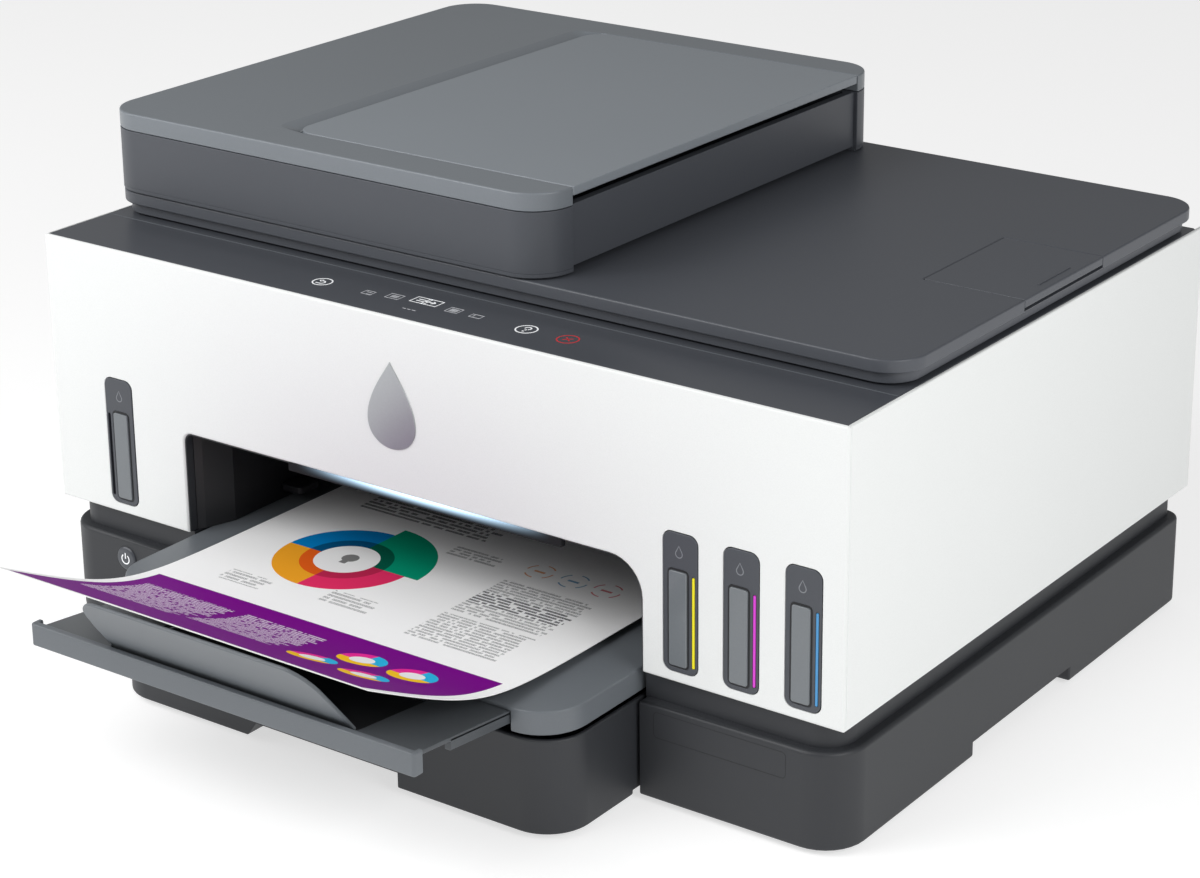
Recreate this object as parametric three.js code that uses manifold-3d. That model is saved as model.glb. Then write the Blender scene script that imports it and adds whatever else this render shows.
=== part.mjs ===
// Ink-tank printer with a flatbed scanner and a document feeder on its lid.
// Millimetres. +X is to the right of a person facing the front, +Y to the back, +Z up.
// Pieces are drawn from the front left corner of the white shell, at the level of the
// base's underside. The group then carries them to the middle of the footprint.

import * as THREE from 'three';
import { mergeVertices } from 'three/addons/utils/BufferGeometryUtils.js';
import Module from 'manifold-3d';

const wasm = await Module();
wasm.setup();

// ---------------------------------------------------------------- driving dimensions

const GAP = 0.3; // left between neighbouring pieces
const ARC_STEPS = 3; // three.js doubles this on an arc, so a rounded corner has twice as many chords
const OVER = 1; // how far a cutter runs past the face it opens

const shell = { width: 449, depth: 323, bottom: 58, top: 192, wall: 4, front: 5, rim: 1.3, rimHeight: 4.7 };
const base = { front: -1.5, back: 315, top: 45.5, corner: 20, wall: 3, floor: 2.5, neckInset: 5, neckWall: 2.5 };
const feet = { height: 2.5, radius: 9, inset: 30 };
const mouth = { left: 84, right: 348, top: 109, leftCorner: 5, rightCorner: 17 };
const bay = { left: 84.5, right: 347.5, back: 277, wall: 2.5 };
const middle = (mouth.left + mouth.right) / 2;

const ink = { width: 18.6, bottom: 61.3, top: 128.2, corner: 4.2, proud: 0.3, thick: 4.2 };
const gauge = { width: 10, bottom: 63.6, top: 108.6, offset: 1.3, proud: 1.2, margin: 0.7 };
const tank = { front: 7, back: 112, bottom: 61, top: 126, neckTop: 131, neckRadius: 6.5 };
const cap = { width: 18, front: 22, back: 44, thick: 5.5 };
const tanks = [
  { key: 'black', x: 43.4, half: 33, side: 1 },
  { key: 'yellow', x: 367.5, half: 13.5, side: -1 },
  { key: 'magenta', x: 398, half: 13.5, side: -1 },
  { key: 'cyan', x: 428.5, half: 13.5, side: -1 },
];

const tray = { left: 87, right: 345, front: -58, back: 206, top: 58, thick: 11.2, corner: 22 };
const ramp = { angle: THREE.MathUtils.degToRad(6), y: -114, top: 62, thick: 2 };
const slide = { left: 110.5, right: 321.5, back: -10, lipFront: -123, lipBack: -119.6, lipLow: 54, lipHigh: 65.2 };
const stop = { foot: 68, head: 57.5, length: 40, lean: THREE.MathUtils.degToRad(37), thick: 2, corner: 14 };
const sheet = { width: 210, centre: 214, tail: 148, front: -141, rise: 98, rest: 59.2, thick: 0.6 };

const cassette = { left: 86.3, right: 345.7, front: -57, back: 273, top: 44.5, floor: 2.8, wall: 2.6, corner: 21 };
const grip = { left: 176, right: 258, height: 8, reach: 20 };
const guide = { thick: 3, height: 30, length: 90, start: 60 };

const deck = { thick: 4.7, edge: 1.6, back: 318 };
const glass = { left: 62, right: 368, front: 62, back: 284, thick: 3 };
const scanner = { bottom: 160, inset: 7, front: 9, back: 313, wall: 2.5 };
const head = { left: 30, width: 24, front: 56, back: 290, low: 167, high: 184 };

const lid = { side: 0.7, front: 43.3, back: 321.6, low: 193.2, step: 198.5, top: 204.5, corner: 18, inset: 3 };
const pad = { left: 52, right: 378, front: 54, back: 292, low: 192.4, high: 195.6 };
const flap = { left: 398, front: 145, back: 218, thick: 2.4, lip: 2, lipDrop: 5 };

const feeder = { right: 266.9, front: 41.8, back: 323, corner: 20, low: 204.8, seam: 236, top: 244.5 };
const leaf = { left: 93, front: 63.5, back: 302, low: 240.2, groove: 8 };
const outlet = { front: 66, back: 299, top: 210, left: 56 };

const frame = { left: 15, right: 434, plate: 2, front: 146, back: 226, low: 63, high: 152 };
const rod = { y: 204, z: 112, radius: 4 };
const rollers = {
  exit: { y: 158, z: 69.5, radius: 6, shaft: 3 },
  feed: { y: 200, z: 71, radius: 8, shaft: 4 },
  pickup: { y: 225, z: 58.5, radius: 12, shaft: 3 },
};
const carriage = { left: 200, width: 76, front: 150, back: 212, low: 86, high: 146 };
const belt = { y: 216, depth: 5, z: 134, radius: 8, left: 34, right: 416, thick: 1.2 };

// ---------------------------------------------------------------- colours and finishes

const finishes = {
  white: { color: 0xeceeed, roughness: 0.45, metalness: 0 },
  charcoal: { color: 0x3d3f44, roughness: 0.6, metalness: 0 },
  graphite: { color: 0x4b4d52, roughness: 0.55, metalness: 0 },
  slate: { color: 0x6b7076, roughness: 0.5, metalness: 0 },
  black: { color: 0x1b1c1f, roughness: 0.5, metalness: 0 },
  window: { color: 0x777b80, roughness: 0.3, metalness: 0 },
  glass: { color: 0xc8d6da, roughness: 0.05, metalness: 0 },
  steel: { color: 0xb4b7bb, roughness: 0.35, metalness: 1 },
  rubber: { color: 0x222326, roughness: 0.9, metalness: 0 },
  board: { color: 0x2f6b46, roughness: 0.6, metalness: 0 },
  foam: { color: 0xf4f4f2, roughness: 0.9, metalness: 0 },
  paper: { color: 0xf7f7f5, roughness: 0.8, metalness: 0 },
  light: { color: 0xdfeeff, roughness: 0.3, metalness: 0 },
};

// ---------------------------------------------------------------- solid modelling helpers

// A closed three.js geometry as a manifold solid.
function solidOf(geometry) {
  const bare = geometry.index ? geometry.toNonIndexed() : geometry.clone();
  bare.deleteAttribute('normal');
  bare.deleteAttribute('uv');
  const merged = mergeVertices(bare, 1e-4);
  return new wasm.Manifold(new wasm.Mesh({
    numProp: 3,
    vertProperties: new Float32Array(merged.attributes.position.array),
    triVerts: new Uint32Array(merged.index.array),
  }));
}

function geometryOf(solid) {
  const mesh = solid.getMesh();
  const geometry = new THREE.BufferGeometry();
  geometry.setAttribute('position', new THREE.BufferAttribute(new Float32Array(mesh.vertProperties), 3));
  geometry.setIndex(new THREE.BufferAttribute(new Uint32Array(mesh.triVerts), 1));
  geometry.computeVertexNormals();
  return geometry;
}

function joined(first, ...rest) {
  return rest.reduce((sum, item) => sum.add(item), first);
}

function cut(first, ...rest) {
  return rest.reduce((left, item) => left.subtract(item), first);
}

// A box between two values on each axis.
function block([x0, x1], [y0, y1], [z0, z1]) {
  const box = new THREE.BoxGeometry(x1 - x0, y1 - y0, z1 - z0);
  box.translate((x0 + x1) / 2, (y0 + y1) / 2, (z0 + z1) / 2);
  return solidOf(box);
}

// A rectangle whose corners are rounded by radii, in the order low-low, high-low, high-high, low-high.
function roundedRect([u0, u1], [v0, v1], radii) {
  const [a, b, c, d] = Array.isArray(radii) ? radii : [radii, radii, radii, radii];
  const quarter = Math.PI / 2;
  const outline = new THREE.Shape();
  outline.moveTo(u0 + a, v0);
  outline.lineTo(u1 - b, v0);
  if (b) outline.absarc(u1 - b, v0 + b, b, -quarter, 0, false);
  outline.lineTo(u1, v1 - c);
  if (c) outline.absarc(u1 - c, v1 - c, c, 0, quarter, false);
  outline.lineTo(u0 + d, v1);
  if (d) outline.absarc(u0 + d, v1 - d, d, quarter, 2 * quarter, false);
  outline.lineTo(u0, v0 + a);
  if (a) outline.absarc(u0 + a, v0 + a, a, 2 * quarter, 3 * quarter, false);
  return outline;
}

// Extrudes an outline along an axis. The outline is drawn in the two other axes, in the order
// (x, y) for z, (y, z) for x and (z, x) for y. A bevel rounds both ends and stays inside them.
const turns = {
  z: [new THREE.Vector3(1, 0, 0), new THREE.Vector3(0, 1, 0), new THREE.Vector3(0, 0, 1)],
  x: [new THREE.Vector3(0, 1, 0), new THREE.Vector3(0, 0, 1), new THREE.Vector3(1, 0, 0)],
  y: [new THREE.Vector3(0, 0, 1), new THREE.Vector3(1, 0, 0), new THREE.Vector3(0, 1, 0)],
};

function extruded(axis, outline, from, to, bevel = 0) {
  const geometry = new THREE.ExtrudeGeometry(outline, {
    depth: to - from - 2 * bevel,
    curveSegments: ARC_STEPS,
    bevelEnabled: bevel > 0,
    bevelSize: bevel,
    bevelThickness: bevel,
    bevelOffset: -bevel,
    bevelSegments: 2,
  });
  geometry.translate(0, 0, from + bevel);
  geometry.applyMatrix4(new THREE.Matrix4().makeBasis(...turns[axis]));
  return solidOf(geometry);
}

function polygon(points) {
  return new THREE.Shape(points.map(([u, v]) => new THREE.Vector2(u, v)));
}

// A slab lying flat, with rounded corners in plan.
function slab(xs, ys, [z0, z1], corners, bevel = 0) {
  return extruded('z', roundedRect(xs, ys, corners), z0, z1, bevel);
}

// A plate facing the front, with rounded corners seen from the front.
function facing(xs, zs, [y0, y1], corners, bevel = 0) {
  return extruded('y', roundedRect(zs, xs, corners), y0, y1, bevel);
}

// A round bar along an axis, centred on the two other coordinates in the outline's order.
function bar(axis, centre, radius, from, to) {
  const circle = new THREE.Shape().absarc(centre[0], centre[1], radius, 0, 2 * Math.PI, false);
  const steps = radius > 5 ? 12 : 7;
  const geometry = new THREE.ExtrudeGeometry(circle, { depth: to - from, curveSegments: steps, bevelEnabled: false });
  geometry.translate(0, 0, from);
  geometry.applyMatrix4(new THREE.Matrix4().makeBasis(...turns[axis]));
  return solidOf(geometry);
}

// The same solid on the other side of the paper path's middle, or of the shell's middle.
function mirrored(solid, centre) {
  return solid.mirror([1, 0, 0]).translate([2 * centre, 0, 0]);
}

const both = (solid, centre) => joined(solid, mirrored(solid, centre));

// ---------------------------------------------------------------- base and shell

function inset(range, amount) {
  return [range[0] + amount, range[1] - amount];
}

function baseTub() {
  const xs = [0, shell.width];
  const ys = [base.front, base.back];
  const neck = base.neckInset;
  const hollow = neck + base.neckWall;
  const ledge = base.top - base.wall;
  const body = joined(
    slab(xs, ys, [0, base.top], base.corner, 1.2),
    slab(inset(xs, neck), inset(ys, neck), [ledge, shell.bottom - GAP], base.corner - neck),
  );
  const rooms = joined(
    slab(inset(xs, base.wall), inset(ys, base.wall), [base.floor, ledge], base.corner - base.wall),
    slab(inset(xs, hollow), inset(ys, hollow), [ledge - OVER, shell.bottom], base.corner - hollow),
  );
  const bayWall = block([bay.left - bay.wall, bay.left], [base.front + 1, bay.back], [1, ledge + 1]);
  const slant = polygon([[98, -OVER], [112, 7.5], [208, 7.5], [225, -OVER]]);
  const handhold = both(extruded('x', slant, -OVER, 13), shell.width / 2);
  const backing = both(block([1, 16], [92, 231], [0.6, 11]), shell.width / 2);
  const cassetteWay = block([bay.left, bay.right], [base.front - OVER, 12], [base.floor, shell.bottom + OVER]);
  const buttonHole = bar('y', [button.z, button.x], button.radius + 0.4, base.front - OVER, base.front + 8);
  return cut(joined(cut(body, rooms), both(bayWall, middle), backing), handhold, cassetteWay, buttonHole);
}

const button = { x: 43, z: 35.2, radius: 6, proud: 1.2 };

function powerButton() {
  return joined(
    bar('y', [button.z, button.x], button.radius, base.front - button.proud, base.front + 2.4),
    bar('y', [button.z, button.x], 2.5, base.front + 2, base.front + 7),
  );
}

function foot(x, y) {
  return bar('z', [x, y], feet.radius, -feet.height, -GAP);
}

// The front panel is open below the top edge of the paper mouth, down to its own lower edge.
function frontPanel() {
  const panel = block([0, shell.width], [0, shell.front], [shell.bottom, shell.top]);
  const opening = facing(
    [mouth.left, mouth.right],
    [shell.bottom - 30, mouth.top],
    [-OVER, shell.front + OVER],
    [0, mouth.leftCorner, mouth.rightCorner, 0],
  );
  const rebate = block(
    [shell.rim, shell.width - shell.rim],
    [shell.rim, shell.front + OVER],
    [shell.top - shell.rimHeight - GAP, shell.top + OVER],
  );
  const bevel = extruded('z', polygon([[-OVER, -OVER], [2.9, -OVER], [-OVER, 2.9]]), 50, 200);
  const sideSeat = block([-OVER, shell.wall + GAP], [3, shell.front + OVER], [50, 200]);
  const slots = tanks.map(({ x }) => inkPlate(x, ink.width / 2 + GAP, [-OVER, shell.front + OVER], GAP));
  return cut(panel, opening, rebate, both(bevel, shell.width / 2), both(sideSeat, shell.width / 2), ...slots);
}

function inkPlate(x, half, ys, margin = 0) {
  return facing([x - half, x + half], [ink.bottom - margin, ink.top + margin], ys, ink.corner);
}

// The deck lies on the panel's rebate, and its back edge dips into the notch as it swings up.
function sidePanel() {
  const ys = [3 + GAP, shell.depth];
  const panel = extruded('x', roundedRect(ys, [shell.bottom, shell.top], 0.6), 0, shell.wall);
  const rebate = block(
    [shell.rim, shell.wall + OVER],
    [ys[0] - OVER, shell.depth + OVER],
    [shell.top - shell.rimHeight - GAP, shell.top + OVER],
  );
  const notch = block([shell.rim, shell.wall + OVER], [304, shell.depth + OVER], [176, shell.top]);
  return cut(panel, rebate, notch);
}

const door = { left: 150, right: 330, low: 75, high: 160, front: 316, back: 320 };
const inlet = { left: 34, right: 62, low: 64, high: 84 };

function rearPanel() {
  const panel = block([shell.wall + GAP, shell.width - shell.wall - GAP], [door.front, door.back], [shell.bottom, 176]);
  const doorway = block([door.left, door.right], [300, 330], [door.low, door.high]);
  const socket = block([inlet.left - GAP, inlet.right + GAP], [300, 330], [inlet.low - GAP, inlet.high + GAP]);
  const vent = (x) => facing([x, x + 3], [100, 150], [300, 330], 1.4);
  const vents = Array.from({ length: 8 }, (unused, i) => vent(360 + i * 8));
  return cut(panel, doorway, socket, ...vents);
}

function rearDoor() {
  const leafXs = [door.left + 0.5, door.right - 0.5];
  const plate = facing(leafXs, [door.low + 0.5, door.high - 0.5], [door.front, door.back], 2);
  const pull = facing([middle - 25, middle + 25], [door.high - 16, door.high - 8], [door.back - 1.5, 330], 3);
  const ribs = [190, 216, 242, 268].map((x) => block([x, x + 2], [306, door.front + 1], [90, 145]));
  return joined(cut(plate, pull), ...ribs);
}

function powerInlet() {
  const body = block([inlet.left, inlet.right], [296, door.back + 1.5], [inlet.low, inlet.high]);
  const z = (inlet.low + inlet.high) / 2;
  const x = (inlet.left + inlet.right) / 2;
  const recess = facing([x - 8.6, x + 8.6], [z - 4.6, z + 4.6], [306, 330], 4);
  const pin = (offset) => bar('y', [z, x + offset], 1.2, 305, 318);
  return joined(cut(body, recess), pin(-4.3), pin(4.3));
}

// Dark walls and ceiling of the paper mouth, splayed towards the front.
function mouthLiner() {
  const edge = mouth.left;
  const wallPlan = polygon([[edge - 1.5, 5.5], [edge + 1, 5.5], [edge + 3, 9], [edge + 8, 24], [edge + 8, 140], [edge - 1.5, 140]]);
  const wall = extruded('z', wallPlan, shell.bottom + GAP, 113);
  const ceiling = block([edge - 1, mouth.right + 1], [5.5, 140], [110.6, 113]);
  return joined(both(wall, middle), ceiling);
}

function statusLight() {
  return facing([165, 292], [107.2, 110.2], [5.6, 8.2], 1.2);
}

// ---------------------------------------------------------------- ink tanks

function gaugeHole(x, side, margin, ys) {
  const centre = x + side * gauge.offset;
  const half = gauge.width / 2 + margin;
  return facing([centre - half, centre + half], [gauge.bottom - margin, gauge.top + margin], ys, 2 + margin, 0);
}

function inkBezel({ x, side }) {
  const plate = inkPlate(x, ink.width / 2, [-ink.proud, ink.thick]);
  const strip = x - side * 6.7;
  const slot = facing([strip - 0.9, strip + 0.9], [66, 108], [-OVER, 0.6], 0.8);
  return cut(plate, gaugeHole(x, side, gauge.margin, [-OVER, ink.thick + OVER]), slot);
}

// A full tank: its gauge window stands out of the bezel, and its filler neck out of the top.
function inkTank({ x, half, side }) {
  const body = slab([x - half, x + half], [tank.front, tank.back], [tank.bottom, tank.top], 4);
  const window = gaugeHole(x, side, 0, [-gauge.proud, tank.front + OVER]);
  const neck = bar('z', [x, 32], tank.neckRadius, tank.top - OVER, tank.neckTop);
  return joined(body, window, neck);
}

function tankCap({ x }) {
  const low = tank.neckTop + GAP;
  return slab([x - cap.width / 2, x + cap.width / 2], [cap.front, cap.back], [low, low + cap.thick], 3, 0.8);
}

// ---------------------------------------------------------------- output tray and its extension

const rampTop = (y) => ramp.top - (y - ramp.y) * Math.tan(ramp.angle);

// The tray is a deep plate. The extension slides into a wedge that is cut from its underside.
function outputTray() {
  const low = tray.top - tray.thick;
  const plate = extruded(
    'z',
    roundedRect([tray.left, tray.right], [tray.front, tray.back], [tray.corner, tray.corner, 0, 0]),
    low,
    tray.top,
    0.8,
  );
  const wedge = polygon([
    [tray.front - OVER, rampTop(tray.front - OVER) + GAP],
    [60, rampTop(60) + GAP],
    [60, low - 10],
    [tray.front - OVER, low - 10],
  ]);
  const thinBack = block([tray.left - OVER, tray.right + OVER], [58, tray.back + OVER], [low - OVER, tray.top - 3]);
  return cut(plate, extruded('x', wedge, slide.left - 0.6, slide.right + 0.6), thinBack);
}

const stopPocket = { left: middle - stop.foot - 2, right: middle + stop.foot + 2, front: -117, back: -70 };

function trayExtension() {
  const plateLine = (low, high, from, to) => polygon([
    [from, rampTop(from) - high],
    [to, rampTop(to) - high],
    [to, rampTop(to) - low],
    [from, rampTop(from) - low],
  ]);
  const plate = extruded('x', plateLine(ramp.thick, 0, slide.lipBack - 1, slide.back), slide.left, slide.right);
  const lip = extruded(
    'y',
    roundedRect([slide.lipLow, slide.lipHigh], [slide.left - 3, slide.right + 3], 1),
    slide.lipFront,
    slide.lipBack,
    0.6,
  );
  const rail = extruded('x', plateLine(6, 1, -96, slide.back), slide.right - 3, slide.right);
  const pocket = block(
    [stopPocket.left, stopPocket.right],
    [stopPocket.front, stopPocket.back],
    [50, 70],
  );
  return joined(cut(plate, pocket), lip, both(rail, middle));
}

// The stop stands on the extension and leans forward. It folds back into the pocket.
function paperStop() {
  const outline = new THREE.Shape();
  const shoulder = stop.length - stop.corner;
  outline.moveTo(-stop.foot, 0);
  outline.lineTo(stop.foot, 0);
  outline.lineTo(stop.foot - 3, shoulder);
  outline.quadraticCurveTo(stop.foot - 5, stop.length, stop.head - stop.corner / 2, stop.length);
  outline.lineTo(-stop.head + stop.corner / 2, stop.length);
  outline.quadraticCurveTo(5 - stop.foot, stop.length, 3 - stop.foot, shoulder);
  outline.lineTo(-stop.foot, 0);
  const geometry = new THREE.ExtrudeGeometry(outline, { depth: stop.thick, curveSegments: 8, bevelEnabled: false });
  geometry.translate(0, 0, -stop.thick / 2);
  geometry.rotateX(Math.PI / 2 + stop.lean);
  geometry.translate(middle, ramp.y - 0.5, ramp.top - 1);
  return solidOf(geometry);
}

// The sheet lies along the tray, then curls up against the stop.
function printedSheet() {
  const side = (offset) => [
    [sheet.tail, sheet.rest],
    [25, sheet.rest + 1],
    [-40, sheet.rest + 3],
    [-70, sheet.rest + 7.4],
    [-92, sheet.rest + 14.6],
    [-118, sheet.rest + 27.2],
    [sheet.front, sheet.rise],
  ].map(([y, z]) => new THREE.Vector2(y, z + offset));
  const outline = new THREE.Shape();
  outline.moveTo(sheet.tail, sheet.rest);
  outline.splineThru(side(0).slice(1));
  outline.lineTo(sheet.front, sheet.rise + sheet.thick);
  outline.splineThru(side(sheet.thick).reverse().slice(1));
  const xs = [sheet.centre - sheet.width / 2, sheet.centre + sheet.width / 2];
  return extruded('x', outline, ...xs);
}

// ---------------------------------------------------------------- paper cassette

function paperCassette() {
  const xs = [cassette.left, cassette.right];
  const ys = [cassette.front, cassette.back];
  const corners = [cassette.corner, cassette.corner, 3, 3];
  const innerCorners = corners.map((radius) => Math.max(radius - cassette.wall, 1));
  const pan = slab(xs, ys, [cassette.floor, cassette.top], corners);
  const room = slab(
    inset(xs, cassette.wall),
    inset(ys, cassette.wall),
    [cassette.floor + cassette.wall, cassette.top + OVER],
    innerCorners,
  );
  const skirt = slab(xs, [cassette.front, base.front - 1.2], [0.5, cassette.floor + 0.5], [cassette.corner, cassette.corner, 0, 0]);
  const gripBlock = block([grip.left - 4, grip.right + 4], [cassette.front + 1, cassette.front + grip.reach + 4], [3, 12]);
  const gripCut = extruded(
    'y',
    polygon([[-OVER, grip.left - 6], [grip.height, grip.left], [grip.height, grip.right], [-OVER, grip.right + 0.5]]),
    cassette.front - OVER,
    cassette.front + grip.reach,
  );
  const skirtGap = block([grip.left, grip.right], [cassette.front, 10], [-OVER, cassette.floor]);
  return cut(joined(cut(pan, room), skirt, gripBlock), gripCut, skirtGap);
}

const panFloor = cassette.floor + cassette.wall + GAP;

function widthGuide() {
  const left = middle - 105 - guide.thick - 1;
  const ys = [guide.start, guide.start + guide.length];
  return joined(
    block([left, left + guide.thick], ys, [panFloor, panFloor + guide.height]),
    block([left, left + 26], [guide.start + 20, guide.start + 50], [panFloor, panFloor + 2]),
  );
}

function lengthGuide() {
  const front = cassette.front + 26;
  return joined(
    block([middle - 30, middle + 30], [front, front + guide.thick], [panFloor, panFloor + guide.height]),
    block([middle - 12, middle + 12], [front, front + 24], [panFloor, panFloor + 2]),
  );
}

// ---------------------------------------------------------------- print mechanism

function chassisFrame() {
  const beam = joined(
    block([frame.left, frame.right], [frame.back - frame.plate, frame.back], [frame.low + 10, frame.high]),
    block([frame.left, frame.right], [frame.back - 1, frame.back + 14], [frame.high - frame.plate, frame.high]),
    block([frame.left, frame.right], [frame.back - 1, frame.back + 14], [frame.low + 10, frame.low + 10 + frame.plate]),
  );
  const cheek = block([frame.left, frame.left + frame.plate], [frame.front, frame.back], [frame.low, frame.high]);
  const bore = ({ y, z, radius, shaft }) => {
    return bar('x', [y, z], (shaft ?? radius) + GAP, frame.left - OVER, frame.right + OVER);
  };
  const pulleyBores = [belt.left, belt.right].map((x) => {
    return bar('y', [belt.z, x], 2.5 + GAP, frame.front, frame.back + OVER);
  });
  const shafts = [rollers.exit, rollers.feed, rod];
  return cut(joined(beam, both(cheek, shell.width / 2)), ...shafts.map(bore), ...pulleyBores);
}

function guideRod() {
  return bar('x', [rod.y, rod.z], rod.radius, frame.left - 3, frame.right + 3);
}

// A shaft with rubber tyres at even steps along it, and a flat gear at its left end.
function rollerShaft({ y, z, radius, shaft }, from, to, tyres, tyreLength, gearRadius) {
  const centre = [y, z];
  const pieces = tyres.map((x) => bar('x', centre, radius, x - tyreLength / 2, x + tyreLength / 2));
  const gear = bar('x', centre, gearRadius, frame.left + 5, frame.left + 10);
  return joined(bar('x', centre, shaft, from, to), gear, ...pieces);
}

const evenly = (from, to, count) => Array.from({ length: count }, (unused, i) => from + ((to - from) * i) / (count - 1));

function pickupRoller() {
  const { y, z, radius, shaft } = rollers.pickup;
  return joined(
    bar('x', [y, z], shaft, middle - 60, middle + 60),
    bar('x', [y, z], radius, middle - 34, middle - 14),
    bar('x', [y, z], radius, middle + 14, middle + 34),
  );
}

function printCarriage() {
  const right = carriage.left + carriage.width;
  const body = extruded(
    'x',
    polygon([
      [carriage.front, carriage.low + 10],
      [carriage.front, carriage.high - 20],
      [carriage.front + 22, carriage.high],
      [carriage.back - 6, carriage.high],
      [carriage.back, carriage.high - 6],
      [carriage.back, carriage.low + 10],
    ]),
    carriage.left,
    right,
  );
  const nozzles = slab([carriage.left + 8, right - 8], [158, 192], [carriage.low, carriage.low + 14], 2);
  const bore = bar('x', [rod.y, rod.z], rod.radius + GAP, carriage.left - OVER, right + OVER);
  const latch = block([carriage.left + 16, right - 16], [170, 196], [carriage.high - 1, carriage.high + 4]);
  return cut(joined(body, nozzles, latch), bore);
}

function beltLoop(radius) {
  const outline = new THREE.Shape();
  outline.moveTo(belt.z + radius, belt.left);
  outline.absarc(belt.z, belt.right, radius, 0, Math.PI, false);
  outline.absarc(belt.z, belt.left, radius, Math.PI, 2 * Math.PI, false);
  return outline;
}

function carriageBelt() {
  const outer = extruded('y', beltLoop(belt.radius + GAP + belt.thick), belt.y, belt.y + belt.depth);
  return cut(outer, extruded('y', beltLoop(belt.radius + GAP), belt.y - OVER, belt.y + belt.depth + OVER));
}

function pulley(x, shaftEnd) {
  return joined(
    bar('y', [belt.z, x], belt.radius, belt.y, belt.y + belt.depth),
    bar('y', [belt.z, x], 2.5, belt.y + 1, shaftEnd),
  );
}

function carriageMotor() {
  const can = bar('y', [belt.z, belt.right], 14, frame.back + 16, frame.back + 48);
  return cut(can, bar('y', [belt.z, belt.right], 2.5 + GAP, frame.back, frame.back + 34));
}

function platen() {
  const top = 74;
  const plate = block([88, 360], [166, 190], [64, top]);
  const grooves = evenly(94, 352, 24).map((x) => block([x - 3.6, x + 3.6], [168, 188], [top - 2, top + OVER]));
  return cut(plate, ...grooves);
}

function serviceStation() {
  const body = slab([372, 426], [163, 194], [64, 80], 3);
  const wiper = block([368, 370.5], [167, 190], [64, 84]);
  const bridge = block([369, 373], [167, 190], [64, 70]);
  const cup = cut(slab([380, 420], [166, 190], [79, 84], 3), slab([382, 418], [168, 188], [81, 85], 2));
  return joined(body, wiper, bridge, cup);
}

function powerSupply() {
  const can = slab([20, 138], [246, 292], [60, 96], 3, 0.8);
  const slots = evenly(34, 124, 7).map((x) => block([x - 2, x + 2], [252, 286], [95, 97]));
  return cut(can, ...slots);
}

function mainBoard() {
  const board = block([300, 428], [246, 308], [66, 67.6]);
  const chips = [
    block([320, 344], [262, 286], [67, 70]),
    block([352, 364], [262, 282], [67, 69]),
    block([374, 386], [262, 282], [67, 69]),
    block([396, 420], [290, 308], [67, 78]),
    block([306, 314], [250, 300], [67, 73]),
  ];
  return joined(board, ...chips);
}

// ---------------------------------------------------------------- scanner

function scannerBase() {
  const xs = [scanner.inset, shell.width - scanner.inset];
  const ys = [scanner.front, scanner.back];
  const top = shell.top - deck.thick - GAP;
  const box = slab(xs, ys, [scanner.bottom, top], 6);
  const room = slab(inset(xs, scanner.wall), inset(ys, scanner.wall), [scanner.bottom + scanner.wall, top + OVER], 4);
  const rail = block([24, 420], [170, 176], [scanner.bottom + 1, head.low - 0.5]);
  return joined(cut(box, room), rail);
}

function scannerDeck() {
  const plate = slab(
    [deck.edge, shell.width - deck.edge],
    [deck.edge, deck.back],
    [shell.top - deck.thick, shell.top],
    2,
    0.4,
  );
  const margin = GAP;
  const pane = block(
    [glass.left - margin, glass.right + margin],
    [glass.front - margin, glass.back + margin],
    [shell.top - glass.thick - 0.2 - margin, shell.top + OVER],
  );
  const sight = block([glass.left + 4, glass.right - 4], [glass.front + 4, glass.back - 4], [180, 195]);
  const strip = block([26, 44], [glass.front + 4, glass.back - 4], [180, 195]);
  return cut(plate, pane, sight, strip);
}

function scanGlass() {
  const top = shell.top - 0.2;
  return block([glass.left, glass.right], [glass.front, glass.back], [top - glass.thick, top]);
}

function scanHead() {
  const right = head.left + head.width;
  const body = slab([head.left, right], [head.front, head.back], [head.low, head.high], 2);
  const slit = block([head.left + 9, right - 9], [head.front + 8, head.back - 8], [head.high - 3, head.high + OVER]);
  return cut(body, slit);
}

// ---------------------------------------------------------------- lid and document feeder

function lidPlate() {
  const xs = [lid.side, shell.width - lid.side];
  const ys = [lid.front, lid.back];
  const upper = slab(xs, ys, [lid.step, lid.top], lid.corner, 0.9);
  const lower = slab(inset(xs, lid.inset), inset(ys, lid.inset), [lid.low, lid.step + 1], lid.corner - lid.inset);
  const padSeat = block(
    [pad.left - GAP, pad.right + GAP],
    [pad.front - GAP, pad.back + GAP],
    [lid.low - OVER, pad.high + GAP],
  );
  const stopSeat = block([flap.left - 0.4, shell.width], [flap.front - 0.4, flap.back + 0.4], [lid.top - flap.thick - 0.4, lid.top + OVER]);
  const edgeSeat = block([shell.width - lid.side - flap.lip - 0.4, shell.width], [flap.front - 0.4, flap.back + 0.4], [lid.low - OVER, lid.top]);
  return cut(joined(upper, lower), padSeat, stopSeat, edgeSeat);
}

function lidPad() {
  return slab([pad.left, pad.right], [pad.front, pad.back], [pad.low, pad.high], 3);
}

function documentStop() {
  const right = shell.width - lid.side;
  const low = lid.top - flap.thick;
  const plate = block([flap.left, right], [flap.front, flap.back], [low, lid.top]);
  const lip = block([right - flap.lip, right], [flap.front, flap.back], [lid.top - flap.lipDrop, lid.top]);
  return joined(plate, lip);
}

const feederXs = [lid.side, feeder.right];
const feederYs = [feeder.front, feeder.back];

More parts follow.
